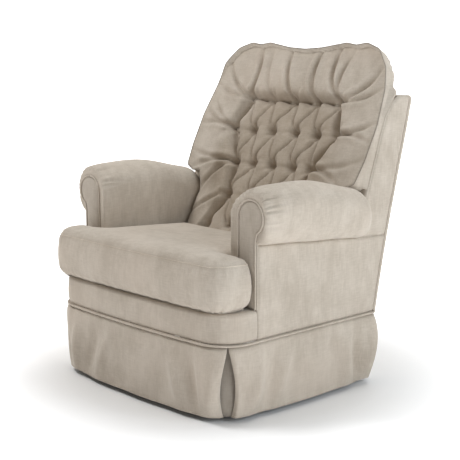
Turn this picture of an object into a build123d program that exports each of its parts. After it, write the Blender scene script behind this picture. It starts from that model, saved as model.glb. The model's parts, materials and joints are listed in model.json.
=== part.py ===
"""Upholstered swivel glider armchair: steel swivel base, four swing links, wooden frame,
padded arms, tufted back, loose seat cushion and a skirt with corner pleats.

Frame: millimetres, +Z up, floor at Z = 0, the sitter faces -Y and the sitter's left is +X.
"""

import math
import os

from build123d import *

os.makedirs("parts", exist_ok=True)

# ---------------------------------------------------------------- driving dimensions
# Body in plan
BODY_HALF_W = 380.0  # outer face of the side panels
APRON_Y = -369.0  # front of the body where the corners begin
APRON_BOW = 10.0  # how far the front bows out at the middle
BACK_Y = 252.0  # back of the body at skirt height
FRONT_R = 95.0  # front corner radius
BACK_R = 25.0  # back corner radius
COVER = 8.0  # thickness of a padded cover panel
ARM_FRONT_Y = -251.0  # plane of the arm facings

# Heights
HEM_Z = 15.0
WELT_Z = 215.0
FRAME_Z = 219.0  # underside of the wooden frame
RAIL_TOP_Z = 280.0
DECK_Z = 289.0  # underside of the deck pad
SEAT_Z = 302.0  # top of the deck and of the front apron
CUSHION_Z = 303.5  # underside of the loose cushion

# Back: the tufting plane passes through TUFT_Y, TUFT_Z and leans back
LEAN = 27.2  # degrees from vertical
TUFT_Y = 223.0
TUFT_Z = 605.0
REAR_LINE = ((238.0, FRAME_Z), (305.0, 526.0), (384.0, 836.0))  # rear edge of the sides, (y, z)
BACK_TOP_Z = 850.0
BACK_BULGE = 12.0  # back panel behind the rear edge of the sides

# Swivel and glide
AXIS_Y = -60.0  # swivel axis
RING_R = 230.0
RING_TUBE = 25.0
PAD_H = 4.0
PLATE_Z = 52.0  # underside of the turntable plate
PLATE_T = 5.0
LINK_L = 120.0  # pivot to pivot
PIVOT_Y = 90.0  # pivots either side of the swivel axis
TOP_PIVOT_Z = 185.0
LOW_PIVOT_Z = TOP_PIVOT_Z - LINK_L
BOLT_R = 5.0
RUNNING = 0.05  # radial clearance of a running fit
OPEN_PIVOT = 0.6  # radial clearance of the pivots that close the linkage
STANCHION_X = 140.0
LINK_X = 151.0
LINK_T = 6.0
BRACKET_X = 170.0
STEEL_T = 5.0

# Timber
BOARD = 22.0

# Arms
ARM_X = 360.0  # centre of the roll at the facing
FACING_R = 46.0
ARM_IN_X = 302.0
ARM_OUT_X = 428.0
POST_X = (318.0, 372.0)
ROLL_Z = 549.0

# Tufting: rows of buttons, (height up the lean, list of x)
BUTTON_R = 10.5
BUTTON_ROWS = (
    (222.0, (-192.0, -97.0, 0.0, 97.0, 192.0)),
    (115.0, (-224.0, -138.0, -50.0, 50.0, 138.0, 224.0)),
    (2.0, (-166.0, -86.0, 0.0, 86.0, 166.0)),
    (-108.0, (-145.0, -48.0, 48.0, 145.0)),
)

# ---------------------------------------------------------------- shared frames and outlines
lean = math.radians(LEAN)
UP = (0, math.sin(lean), math.cos(lean))  # along the tufting plane
OUT = (0, -math.cos(lean), math.sin(lean))  # out of the tufting plane, towards the sitter
TUFT_ORIGIN = (0, TUFT_Y, TUFT_Z)
back_plane = Plane(origin=TUFT_ORIGIN, x_dir=(1, 0, 0), z_dir=OUT)  # local x, up the lean
back_side_plane = Plane(origin=TUFT_ORIGIN, x_dir=UP, z_dir=(1, 0, 0))  # local up, out
side_plane = Plane.YZ  # local y, z


def plan_outline(inset, bow=APRON_BOW):
    """Closed plan outline of the body, inset from its outer faces."""
    half = BODY_HALF_W - inset
    front = APRON_Y + inset
    back = BACK_Y - inset
    front_r = FRONT_R - inset
    back_r = max(BACK_R - inset, 4.0)
    near = half - front_r
    far = half - back_r
    diagonal = math.sqrt(0.5)
    if bow:
        ThreePointArc((-near, front), (0, front - bow), (near, front))
    else:
        Line((-near, front), (near, front))
    for side in (1, -1):
        corner_y = front + front_r
        mid = (side * (near + front_r * diagonal), corner_y - front_r * diagonal)
        ThreePointArc((side * near, front), mid, (side * half, corner_y))
        Line((side * half, corner_y), (side * half, back - back_r))
        mid = (side * (far + back_r * diagonal), back - back_r + back_r * diagonal)
        ThreePointArc((side * half, back - back_r), mid, (side * far, back))
    Line((-far, back), (far, back))


def rear_arc(shift=0.0):
    """Rear edge of the sides, as an arc in the Y-Z plane, shifted towards the back."""
    return ThreePointArc(*((y + shift, z) for y, z in REAR_LINE))


def keyhole(side, radius, half_w, low_z):
    """Arm front: a disc on a post, in the X-Z plane."""
    with Locations((side * ARM_X, ROLL_Z)):
        Circle(radius)
    middle = side * (POST_X[0] + POST_X[1]) / 2
    with Locations((middle, (low_z + ROLL_Z) / 2)):
        Rectangle(2 * half_w, ROLL_Z - low_z)


def write(piece, name):
    """Label a finished piece and write its STEP file."""
    piece.label = name
    export_step(piece, f"parts/{name}.step")


# ---------------------------------------------------------------- swivel base (stands on the floor)
with BuildPart() as floor_pads:
    with BuildSketch(Plane.XY):
        with Locations((0, AXIS_Y)):
            with PolarLocations(RING_R - RING_TUBE / 2, 6, start_angle=30):
                Circle(11)
    extrude(amount=PAD_H)
write(floor_pads.part, "floor_pads")

with BuildPart() as base_ring:
    with BuildSketch(Plane.XY.offset(PAD_H)):
        with Locations((0, AXIS_Y)):
            Circle(RING_R)
            Circle(RING_R - RING_TUBE, mode=Mode.SUBTRACT)
    extrude(amount=RING_TUBE)
    fillet(base_ring.edges().filter_by(GeomType.CIRCLE), radius=5)
write(base_ring.part, "base_ring")

CROSS_Z = PAD_H + RING_TUBE
CROSS_T = 6.0
PIN_R = 8.0
with BuildPart() as base_cross:
    with BuildSketch(Plane.XY.offset(CROSS_Z)):
        with Locations((0, AXIS_Y)):
            Rectangle(2 * RING_R - 20, 50)
            Rectangle(50, 2 * RING_R - 20)
            Circle(78)
            Circle(PIN_R, mode=Mode.SUBTRACT)
    extrude(amount=CROSS_T)
write(base_cross.part, "base_cross")

RACE_Z = CROSS_Z + CROSS_T
RACE_T = 6.0
BALL_R = 4.0
BALL_CIRCLE = 60.0
BALL_Z = (RACE_Z + RACE_T + PLATE_Z - RACE_T) / 2
GROOVE_R = BALL_R + RUNNING
with BuildPart() as swivel_lower_race:
    with BuildSketch(Plane.XY.offset(RACE_Z)):
        with Locations((0, AXIS_Y)):
            Circle(75)
            Circle(30, mode=Mode.SUBTRACT)
    extrude(amount=RACE_T)
    with Locations((0, AXIS_Y, BALL_Z)):
        Torus(BALL_CIRCLE, GROOVE_R, mode=Mode.SUBTRACT)
write(swivel_lower_race.part, "swivel_lower_race")

with BuildPart() as swivel_balls:
    with Locations((0, AXIS_Y, BALL_Z)):
        with PolarLocations(BALL_CIRCLE, 24):
            Sphere(BALL_R)
write(swivel_balls.part, "swivel_balls")

with BuildPart() as swivel_upper_race:
    with BuildSketch(Plane.XY.offset(PLATE_Z - RACE_T)):
        with Locations((0, AXIS_Y)):
            Circle(75)
            Circle(30, mode=Mode.SUBTRACT)
    extrude(amount=RACE_T)
    with Locations((0, AXIS_Y, BALL_Z)):
        Torus(BALL_CIRCLE, GROOVE_R, mode=Mode.SUBTRACT)
write(swivel_upper_race.part, "swivel_upper_race")

NUT_Z = PLATE_Z + PLATE_T + 0.6
with BuildPart() as swivel_pin:
    with Locations((0, AXIS_Y, CROSS_Z - 6)):
        Cylinder(15, 6, align=(Align.CENTER, Align.CENTER, Align.MIN))
        Cylinder(PIN_R, NUT_Z - CROSS_Z + 12, align=(Align.CENTER, Align.CENTER, Align.MIN))
    with Locations((0, AXIS_Y, NUT_Z)):
        Cylinder(13, 6, align=(Align.CENTER, Align.CENTER, Align.MIN))
write(swivel_pin.part, "swivel_pin")

# ---------------------------------------------------------------- turntable
FLANGE_X = 110.0
STUD = (127.0, 62.0)  # bolts through the stanchion flanges, x and y from the axis
with BuildPart() as turntable_plate:
    with BuildSketch(Plane.XY.offset(PLATE_Z)):
        with Locations((0, AXIS_Y)):
            RectangleRounded(296, 250, 20)
            Circle(PIN_R + RUNNING, mode=Mode.SUBTRACT)
            with GridLocations(2 * STUD[0], 2 * STUD[1], 2, 2):
                Circle(4, mode=Mode.SUBTRACT)
    extrude(amount=PLATE_T)
write(turntable_plate.part, "turntable_plate")

STANCHION_Z = PLATE_Z + PLATE_T
STANCHION_TOP = TOP_PIVOT_Z + 15
for side, name in ((1, "left"), (-1, "right")):
    with BuildPart() as stanchion:
        with BuildSketch(side_plane.offset(side * (STANCHION_X + STEEL_T / 2))):
            with BuildLine():
                Polyline(
                    (AXIS_Y - 100, STANCHION_Z),
                    (AXIS_Y + 100, STANCHION_Z),
                    (AXIS_Y + 112, 140),
                    (AXIS_Y + 112, STANCHION_TOP),
                    (AXIS_Y - 112, STANCHION_TOP),
                    (AXIS_Y - 112, 140),
                    close=True,
                )
            make_face()
            with Locations((AXIS_Y - PIVOT_Y, TOP_PIVOT_Z), (AXIS_Y + PIVOT_Y, TOP_PIVOT_Z)):
                Circle(BOLT_R, mode=Mode.SUBTRACT)
            with Locations((AXIS_Y, 130)):
                RectangleRounded(110, 80, 18, mode=Mode.SUBTRACT)
        extrude(amount=STEEL_T / 2, both=True)
        with BuildSketch(Plane.XY.offset(STANCHION_Z)):
            with Locations((side * (FLANGE_X + STANCHION_X) / 2, AXIS_Y)):
                Rectangle(STANCHION_X - FLANGE_X, 196)
            with Locations((side * STUD[0], AXIS_Y - STUD[1]), (side * STUD[0], AXIS_Y + STUD[1])):
                Circle(4, mode=Mode.SUBTRACT)
        extrude(amount=STEEL_T)
    write(stanchion.part, f"stanchion_{name}")

with BuildPart() as stanchion_bolts:
    with Locations((0, AXIS_Y, PLATE_Z - 4)):
        with GridLocations(2 * STUD[0], 2 * STUD[1], 2, 2):
            Cylinder(7, 4, align=(Align.CENTER, Align.CENTER, Align.MIN))
            Cylinder(4, 4 + PLATE_T + STEEL_T + 5, align=(Align.CENTER, Align.CENTER, Align.MIN))
    with Locations((0, AXIS_Y, STANCHION_Z + STEEL_T)):
        with GridLocations(2 * STUD[0], 2 * STUD[1], 2, 2):
            Cylinder(7, 5, align=(Align.CENTER, Align.CENTER, Align.MIN))
write(stanchion_bolts.part, "stanchion_bolts")

UPPER_HEAD_X = 161.0
with BuildPart() as upper_pivot_bolts:
    for side in (1, -1):
        for end in (1, -1):
            for start, length, radius in (
                (STANCHION_X - 6, 6, 8.5),
                (STANCHION_X - 6, UPPER_HEAD_X - STANCHION_X + 6, BOLT_R),
                (UPPER_HEAD_X, 5, 9.0),
            ):
                place = Plane(
                    origin=(side * start, AXIS_Y + end * PIVOT_Y, TOP_PIVOT_Z), z_dir=(side, 0, 0)
                )
                with Locations(place):
                    Cylinder(radius, length, align=(Align.CENTER, Align.CENTER, Align.MIN))
write(upper_pivot_bolts.part, "upper_pivot_bolts")

TIE_Y = 185.0  # tie bars of the seat, either side of the axis
TIE_Z = 150.0
TIE_R = 8.0
STANCHION_HALF = 112.0
BUMP_T = 7.6  # the tie bars stop just clear of the rubber at the end of the glide
with BuildPart() as bump_stops:
    for side in (1, -1):
        for end in (1, -1):
            place = (side * STANCHION_X, AXIS_Y + end * (STANCHION_HALF + BUMP_T / 2), TIE_Z + 14)
            with Locations(place):
                Box(16, BUMP_T, 26)
    fillet(bump_stops.edges().filter_by(Axis.X), radius=1.5)
write(bump_stops.part, "bump_stops")

# ---------------------------------------------------------------- swing links
BUSH_R = 7.5
for end, row in ((-1, "front"), (1, "rear")):
    pivot_y = AXIS_Y + end * PIVOT_Y
    for side, name in ((1, "left"), (-1, "right")):
        with BuildPart() as link:
            with BuildSketch(side_plane.offset(side * (LINK_X + LINK_T / 2))):
                with Locations((pivot_y, (TOP_PIVOT_Z + LOW_PIVOT_Z) / 2)):
                    SlotCenterToCenter(LINK_L, 28, rotation=90)
                with Locations((pivot_y, TOP_PIVOT_Z), (pivot_y, LOW_PIVOT_Z)):
                    Circle(BUSH_R, mode=Mode.SUBTRACT)
            extrude(amount=LINK_T / 2, both=True)
        write(link.part, f"{row}_link_{name}")
    low_clearance = RUNNING if end < 0 else OPEN_PIVOT
    with BuildPart() as bushes:
        for side in (1, -1):
            for pivot_z, start, length, clearance in (
                (TOP_PIVOT_Z, STANCHION_X + STEEL_T + 0.4, 15.2, RUNNING),
                (LOW_PIVOT_Z, 148.6, 21.0, low_clearance),
            ):
                place = Plane(origin=(side * start, pivot_y, pivot_z), z_dir=(side, 0, 0))
                with BuildSketch(place):
                    Circle(BUSH_R)
                    Circle(BOLT_R + clearance, mode=Mode.SUBTRACT)
                extrude(amount=length)
    write(bushes.part, f"{row}_link_bushes")

# ---------------------------------------------------------------- seat side of the mechanism
BRACKET_TOP = FRAME_Z
FLANGE_OUT = 205.0
FLANGE_HALF = 125.0
BRACKET_BOLTS = (30.0, 105.0)  # y from the axis
for side, name in ((1, "left"), (-1, "right")):
    with BuildPart() as bracket:
        with BuildSketch(side_plane.offset(side * (BRACKET_X + STEEL_T / 2))):
            with BuildLine():
                half = (
                    (-200, BRACKET_TOP),
                    (-200, 138),
                    (-170, 138),
                    (-140, 165),
                    (-122, 165),
                    (-106, LOW_PIVOT_Z),
                    (-100, LOW_PIVOT_Z - 13),
                    (-80, LOW_PIVOT_Z - 13),
                    (-72, LOW_PIVOT_Z),
                    (-52, 150),
                )
                points = [(AXIS_Y + y, z) for y, z in half]
                points += [(AXIS_Y - y, z) for y, z in reversed(half)]
                Polyline(*points, close=True)
            make_face()
            with Locations((AXIS_Y - PIVOT_Y, LOW_PIVOT_Z), (AXIS_Y + PIVOT_Y, LOW_PIVOT_Z)):
                Circle(BOLT_R, mode=Mode.SUBTRACT)
            with Locations((AXIS_Y - TIE_Y, TIE_Z), (AXIS_Y + TIE_Y, TIE_Z)):
                Circle(TIE_R, mode=Mode.SUBTRACT)
        extrude(amount=STEEL_T / 2, both=True)
        with BuildSketch(Plane.XY.offset(BRACKET_TOP - STEEL_T)):
            with Locations((side * (BRACKET_X + STEEL_T + FLANGE_OUT) / 2, AXIS_Y)):
                Rectangle(FLANGE_OUT - BRACKET_X - STEEL_T, 2 * FLANGE_HALF)
            with Locations((side * 190, AXIS_Y)):
                with Locations(*((0, e * y) for y in BRACKET_BOLTS for e in (1, -1))):
                    Circle(3, mode=Mode.SUBTRACT)
        extrude(amount=STEEL_T)
    write(bracket.part, f"seat_bracket_{name}")

with BuildPart() as seat_tie_bars:
    for end in (1, -1):
        place = Plane(origin=(-BRACKET_X - STEEL_T, AXIS_Y + end * TIE_Y, TIE_Z), z_dir=(1, 0, 0))
        with BuildSketch(place):
            Circle(TIE_R)
            Circle(TIE_R - 2, mode=Mode.SUBTRACT)
        extrude(amount=2 * (BRACKET_X + STEEL_T))
write(seat_tie_bars.part, "seat_tie_bars")

with BuildPart() as lower_pivot_bolts:
    for side in (1, -1):
        for end in (1, -1):
            for start, length, radius in (
                (146.6, 1.6, 7.0),
                (146.6, BRACKET_X + STEEL_T - 146.6, BOLT_R),
                (BRACKET_X + STEEL_T, 5, 9.0),
            ):
                place = Plane(
                    origin=(side * start, AXIS_Y + end * PIVOT_Y, LOW_PIVOT_Z), z_dir=(side, 0, 0)
                )
                with Locations(place):
                    Cylinder(radius, length, align=(Align.CENTER, Align.CENTER, Align.MIN))
write(lower_pivot_bolts.part, "lower_pivot_bolts")

BOARD_YS = (AXIS_Y - 68, AXIS_Y + 68)
with BuildPart() as mounting_boards:
    with BuildSketch(Plane.XY.offset(FRAME_Z)):
        with Locations(*((0, y) for y in BOARD_YS)):
            Rectangle(2 * (POST_X[1] - BOARD), 95)
        for y in BRACKET_BOLTS:
            with Locations((0, AXIS_Y)):
                with GridLocations(380, 2 * y, 2, 2):
                    Circle(3, mode=Mode.SUBTRACT)
    extrude(amount=20)
write(mounting_boards.part, "mounting_boards")

with BuildPart() as bracket_bolts:
    for side in (1, -1):
        for end in (1, -1):
            for y in BRACKET_BOLTS:
                with Locations((side * 190, AXIS_Y + end * y, BRACKET_TOP - STEEL_T - 4)):
                    Cylinder(6, 4, align=(Align.CENTER, Align.CENTER, Align.MIN))
                    Cylinder(3, 4 + STEEL_T + 14, align=(Align.CENTER, Align.CENTER, Align.MIN))
write(bracket_bolts.part, "bracket_bolts")

# ---------------------------------------------------------------- wooden seat frame
RAIL_IN_X = POST_X[1] - BOARD
RAIL_FRONT_Y = APRON_Y + COVER
CORNER_X = BODY_HALF_W - FRONT_R
CORNER_Y = APRON_Y + FRONT_R
RAIL_H = RAIL_TOP_Z - FRAME_Z
SIDE_BOARD_Y = 100.0  # front edge of the back's side boards, low down

with BuildPart() as front_rail:
    with Locations((0, RAIL_FRONT_Y + BOARD / 2, FRAME_Z)):
        Box(2 * CORNER_X, BOARD, RAIL_H, align=(Align.CENTER, Align.CENTER, Align.MIN))
write(front_rail.part, "front_rail")

with BuildPart() as front_corner_blocks:
    with BuildSketch(Plane.XY.offset(FRAME_Z)):
        with BuildLine():
            plan_outline(COVER, bow=0)
        make_face()
        with Locations((0, (CORNER_Y + 20 + BACK_Y) / 2)):
            Rectangle(2 * BODY_HALF_W, BACK_Y - CORNER_Y - 20, mode=Mode.SUBTRACT)
        Rectangle(2 * CORNER_X, 900, mode=Mode.SUBTRACT)
        with Locations((CORNER_X, CORNER_Y + 20), (-CORNER_X, CORNER_Y + 20)):
            Circle(40, mode=Mode.SUBTRACT)
    extrude(amount=DECK_Z - FRAME_Z - 1)
write(front_corner_blocks.part, "front_corner_blocks")

SIDE_RAIL_Y = (CORNER_Y + 20, SIDE_BOARD_Y)
with BuildPart() as side_rails:
    with BuildSketch(Plane.XY.offset(FRAME_Z)):
        with Locations(*((s * (RAIL_IN_X + BOARD / 2), sum(SIDE_RAIL_Y) / 2) for s in (1, -1))):
            Rectangle(BOARD, SIDE_RAIL_Y[1] - SIDE_RAIL_Y[0])
    extrude(amount=RAIL_H)
write(side_rails.part, "side_rails")

REAR_RAIL_Y = 195.0
with BuildPart() as rear_rail:
    with Locations((0, REAR_RAIL_Y + BOARD / 2, FRAME_Z)):
        Box(2 * RAIL_IN_X, BOARD, RAIL_H, align=(Align.CENTER, Align.CENTER, Align.MIN))
write(rear_rail.part, "rear_rail")

WIRE_R = 1.9
SPRING_Z = RAIL_TOP_Z + WIRE_R + 0.4
SPRING_HALF = 24.0


def zigzag(places, length, runs):
    """Sweep a zigzag spring wire on each plane, along its local y."""
    pitch = length / (runs - 1)
    for place in places:
        points = []
        for i in range(runs):
            ends = (-SPRING_HALF, SPRING_HALF) if i % 2 == 0 else (SPRING_HALF, -SPRING_HALF)
            points += [(x, i * pitch) for x in ends]
        with BuildLine(place) as wire:
            FilletPolyline(*points, radius=pitch / 2 - 0.2)
        start = wire.line @ 0
        with BuildSketch(Plane(origin=start, z_dir=wire.line % 0)) as section:
            Circle(WIRE_R)
        sweep(sections=section.sketch, path=wire.line)


SEAT_SPRING_X = (-240.0, -120.0, 0.0, 120.0, 240.0)
SEAT_SPRING_Y = (RAIL_FRONT_Y + BOARD / 2, REAR_RAIL_Y + BOARD / 2)
with BuildPart() as seat_springs:
    zigzag(
        [Plane(origin=(x, SEAT_SPRING_Y[0], SPRING_Z)) for x in SEAT_SPRING_X],
        SEAT_SPRING_Y[1] - SEAT_SPRING_Y[0],
        16,
    )
write(seat_springs.part, "seat_springs")

with BuildPart() as spring_clips:
    for x in SEAT_SPRING_X:
        for y in SEAT_SPRING_Y:
            with Locations((x, y, RAIL_TOP_Z)):
                Box(16, 12, 7.5, align=(Align.CENTER, Align.CENTER, Align.MIN))
            with Locations((x, y, RAIL_TOP_Z + 2.4)):
                Box(16, 4.4, 4.4, mode=Mode.SUBTRACT)
write(spring_clips.part, "spring_clips")

with BuildPart() as deck_pad:
    with BuildSketch(Plane.XY.offset(DECK_Z)):
        with BuildLine():
            plan_outline(COVER + 0.3, bow=0)
        make_face()
        with Locations((0, (ARM_FRONT_Y + BACK_Y) / 2)):
            Rectangle(900, BACK_Y - ARM_FRONT_Y, mode=Mode.SUBTRACT)
        with Locations((0, (ARM_FRONT_Y + 95) / 2)):
            Rectangle(2 * ARM_IN_X - 4, 95 - ARM_FRONT_Y)
    extrude(amount=SEAT_Z - DECK_Z)
write(deck_pad.part, "deck_pad")

with BuildPart() as dust_cover:
    with BuildSketch(Plane.XY.offset(FRAME_Z - 2)):
        with BuildLine():
            plan_outline(COVER + 1, bow=0)
        make_face()
        with Locations((BRACKET_X + 18, AXIS_Y), (-BRACKET_X - 18, AXIS_Y)):
            Rectangle(42, 410, mode=Mode.SUBTRACT)
    extrude(amount=1.8)
write(dust_cover.part, "dust_cover")

# ---------------------------------------------------------------- back frame
with BuildPart() as back_board:
    with BuildSketch(side_plane.offset(RAIL_IN_X)):
        with BuildLine():
            inner = rear_arc(-0.5)
            Polyline(
                inner @ 1,
                (379, 841),
                (334, 841),
                (284, 791),
                (240, 674),
                (208, 578),
                (130, 440),
                (SIDE_BOARD_Y, 340),
                (SIDE_BOARD_Y, FRAME_Z),
                inner @ 0,
            )
        make_face()
    extrude(amount=BOARD)
write(back_board.part, "back_board_left")
write(mirror(back_board.part, about=Plane.YZ), "back_board_right")

RAIL_OUT = -25.0  # centre of the tilted back rails, out of the tufting plane
TOP_RAIL_UP = 247.0
TOP_RAIL_H = 47.0
with BuildPart() as back_top_rail:
    with BuildSketch(back_side_plane.offset(-RAIL_IN_X)):
        with Locations((TOP_RAIL_UP, RAIL_OUT)):
            Rectangle(TOP_RAIL_H, BOARD)
    extrude(amount=2 * RAIL_IN_X)
write(back_top_rail.part, "back_top_rail")

LOW_RAIL_UP = -272.0
LOW_RAIL_H = 44.0
with BuildPart() as back_low_rail:
    with BuildSketch(back_side_plane.offset(-RAIL_IN_X)):
        with Locations((LOW_RAIL_UP, RAIL_OUT)):
            Rectangle(LOW_RAIL_H, BOARD)
    extrude(amount=2 * RAIL_IN_X)
write(back_low_rail.part, "back_low_rail")

END_GAP = WIRE_R + 0.3
BACK_SPRING_UP = (LOW_RAIL_UP + LOW_RAIL_H / 2 + END_GAP, TOP_RAIL_UP - TOP_RAIL_H / 2 - END_GAP)
with BuildPart() as back_springs:
    springs = []
    for x in (-225.0, -75.0, 75.0, 225.0):
        start = back_plane.from_local_coords((x, BACK_SPRING_UP[0], RAIL_OUT))
        springs.append(Plane(origin=start, x_dir=(1, 0, 0), z_dir=OUT))
    zigzag(springs, BACK_SPRING_UP[1] - BACK_SPRING_UP[0], 14)
write(back_springs.part, "back_springs")

# ---------------------------------------------------------------- arms
ARM_SECTIONS = (  # y, top of the roll, crease under the roll, inner face above the cushion
    (ARM_FRONT_Y + 8, 622.0, 479.0, 284.0),
    (-150.0, 631.0, 471.0, 284.0),
    (45.0, 613.0, 458.0, ARM_IN_X),
    (120.0, 596.0, 453.0, ARM_IN_X),
    (188.0, 545.0, 449.0, ARM_IN_X),
)
ARM_SWELL_Z = 420.0  # the inner face is full above this height
STUMP_Y = (ARM_FRONT_Y + 8, ARM_FRONT_Y + 8 + BOARD)
ARM_RAIL_Z = (518.0, 540.0)
ARM_RAIL_X = (334.0, 392.0)

with BuildPart() as arm_stump:
    with BuildSketch(Plane.XZ.offset(-STUMP_Y[0])):
        keyhole(1, FACING_R - 2, (POST_X[1] - POST_X[0]) / 2, DECK_Z)
    extrude(amount=-BOARD)
with BuildPart() as arm_stumps:
    add(arm_stump.part)
    mirror(about=Plane.YZ)
write(arm_stumps.part, "arm_stumps")

with BuildPart() as arm_rail:
    with BuildSketch(Plane.XY.offset(ARM_RAIL_Z[0])):
        with Locations((sum(ARM_RAIL_X) / 2, (STUMP_Y[1] + 125) / 2)):
            Rectangle(ARM_RAIL_X[1] - ARM_RAIL_X[0], 125 - STUMP_Y[1])
    extrude(amount=ARM_RAIL_Z[1] - ARM_RAIL_Z[0])
with BuildPart() as arm_rails:
    add(arm_rail.part)
    mirror(about=Plane.YZ)
write(arm_rails.part, "arm_rails")

SEAM_Z = (478.0, 449.0, 442.0)  # seam under the roll: front, at the roll's end, at the rear edge
SEAM_END_Y = 168.0
with BuildPart() as side_cover:
    with BuildSketch(side_plane.offset(POST_X[1])):
        with BuildLine():
            rear = rear_arc()
            Line(rear @ 1, (380, 848))
            Polyline(
                (380, 848),
                (374, BACK_TOP_Z),
                (326, BACK_TOP_Z),
                (314, 844),
                (274, 791),
                (232, 674),
                (203, 578),
                (190, 500),
                (STUMP_Y[0], 500),
                (STUMP_Y[0], SEAT_Z),
                (ARM_FRONT_Y, SEAT_Z),
                (ARM_FRONT_Y, FRAME_Z),
                rear @ 0,
            )
        make_face()
    extrude(amount=COVER)

with BuildPart() as below_seam:
    with BuildSketch(side_plane.offset(POST_X[1])):
        with BuildLine():
            Polyline(
                (-400, SEAM_Z[0] + 9),
                (ARM_FRONT_Y, SEAM_Z[0]),
                (SEAM_END_Y, SEAM_Z[1]),
                (283, SEAM_Z[2]),
                (400, SEAM_Z[2] - 6),
                (400, 100),
                (-400, 100),
                close=True,
            )
        make_face()
    extrude(amount=COVER)

with BuildPart() as outside_arm:
    add(side_cover.part)
    add(below_seam.part, mode=Mode.INTERSECT)
write(outside_arm.part, "outside_arm_left")
write(mirror(outside_arm.part, about=Plane.YZ), "outside_arm_right")

with BuildPart() as back_wing:
    add(side_cover.part)
    add(below_seam.part, mode=Mode.SUBTRACT)
    with BuildSketch(side_plane.offset(POST_X[1])):
        with BuildLine():
            Polyline((-400, 400), (186, 400), (186, 500), (203, 578), (203, 700), (-400, 700), close=True)
        make_face()
    extrude(amount=COVER, mode=Mode.SUBTRACT)
write(back_wing.part, "back_wing_left")
write(mirror(back_wing.part, about=Plane.YZ), "back_wing_right")

with BuildPart() as arm_pad:
    for y, top, crease, inner_x in ARM_SECTIONS:
        with BuildSketch(Plane.XZ.offset(-y)):
            with BuildLine():
                shoulder = top - 66
                low = crease + 0.35 * (shoulder - crease)
                Polyline((ARM_IN_X, CUSHION_Z), (inner_x, ARM_SWELL_Z), (inner_x, shoulder))
                ThreePointArc((inner_x, shoulder), (365, top), (ARM_OUT_X, shoulder))
                ThreePointArc((ARM_OUT_X, shoulder), (ARM_OUT_X - 13, low), (POST_X[1], crease))
                Polyline((POST_X[1], crease), (POST_X[1], CUSHION_Z), (ARM_IN_X, CUSHION_Z))
            make_face()
    loft(ruled=True)
    with BuildSketch(Plane.XY.offset(CUSHION_Z)):
        with Locations(((324 + POST_X[1]) / 2, -58)):
            Rectangle(POST_X[1] - 324, 316)
    extrude(amount=200, mode=Mode.SUBTRACT)
    add(arm_stump.part, mode=Mode.SUBTRACT)
    add(arm_rail.part, mode=Mode.SUBTRACT)
    add(back_board.part, mode=Mode.SUBTRACT)
    add(back_low_rail.part, mode=Mode.SUBTRACT)
    add(side_cover.part, mode=Mode.SUBTRACT)
write(arm_pad.part, "arm_pad_left")
write(mirror(arm_pad.part, about=Plane.YZ), "arm_pad_right")

FACING_Y = ARM_FRONT_Y + 7.5
FACING_HALF = 31.0
with BuildPart() as arm_facing:
    with BuildSketch(Plane.XZ.offset(-FACING_Y)):
        keyhole(1, FACING_R, FACING_HALF, CUSHION_Z)
    extrude(amount=FACING_Y - ARM_FRONT_Y)
write(arm_facing.part, "arm_facing_left")
write(mirror(arm_facing.part, about=Plane.YZ), "arm_facing_right")

with BuildPart() as facing_welt:
    with BuildSketch(Plane.XZ.offset(-FACING_Y)):
        keyhole(1, FACING_R + 4.5, FACING_HALF + 4.5, CUSHION_Z)
        with BuildSketch(Plane.XZ.offset(-FACING_Y), mode=Mode.PRIVATE) as inside:
            keyhole(1, FACING_R + 0.2, FACING_HALF + 0.2, CUSHION_Z - 1)
        add(inside.sketch, mode=Mode.SUBTRACT)
    extrude(amount=FACING_Y - ARM_FRONT_Y + 1.5)
with BuildPart() as facing_welts:
    add(facing_welt.part)
    mirror(about=Plane.YZ)
write(facing_welts.part, "facing_welts")

# ---------------------------------------------------------------- outer covers
with BuildPart() as front_apron:
    with BuildSketch(Plane.XY.offset(FRAME_Z)):
        with BuildLine():
            plan_outline(0)
        make_face()
        with BuildLine():
            plan_outline(COVER, bow=0)
        make_face(mode=Mode.SUBTRACT)
        with Locations((0, ARM_FRONT_Y + 400)):
            Rectangle(900, 800, mode=Mode.SUBTRACT)
    extrude(amount=SEAT_Z - FRAME_Z)
write(front_apron.part, "front_apron")

with BuildPart() as outside_back:
    with BuildSketch(side_plane.offset(-BODY_HALF_W)):
        with BuildLine():
            near_arc = rear_arc()
            far_arc = rear_arc(BACK_BULGE)
            Line(near_arc @ 0, far_arc @ 0)
            Polyline(
                far_arc @ 1,
                (395, 846),
                (390, BACK_TOP_Z),
                (380.2, BACK_TOP_Z),
                (380.2, 848),
                near_arc @ 1,
            )
        make_face()
    extrude(amount=2 * BODY_HALF_W)
    with BuildSketch(side_plane.offset(-POST_X[1])):
        with BuildLine():
            near_arc = rear_arc(-4)
            far_arc = rear_arc(BACK_BULGE - 6)
            Line(near_arc @ 0, far_arc @ 0)
            Line(far_arc @ 1, near_arc @ 1)
        make_face()
    extrude(amount=2 * POST_X[1], mode=Mode.SUBTRACT)
    with BuildSketch(side_plane.offset(-POST_X[1] + 0.2)):
        with Locations(((345 + 380.2) / 2, (842.2 + BACK_TOP_Z) / 2)):
            Rectangle(380.2 - 345, BACK_TOP_Z - 842.2)
    extrude(amount=2 * POST_X[1] - 0.4)
write(outside_back.part, "outside_back")

# ---------------------------------------------------------------- tufted back pillow
PILLOW_BACK = -12.0
PILLOW_FIELD = 35.0  # tufted field, out of the tufting plane
PILLOW_RIM = 82.0  # rolls around the field
PILLOW_HALF = RAIL_IN_X - 1
RIM_HALF = 372.0
WING_LOW = -36.0
WING_IN = 262.0
TOP_UP = 402.0

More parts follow.
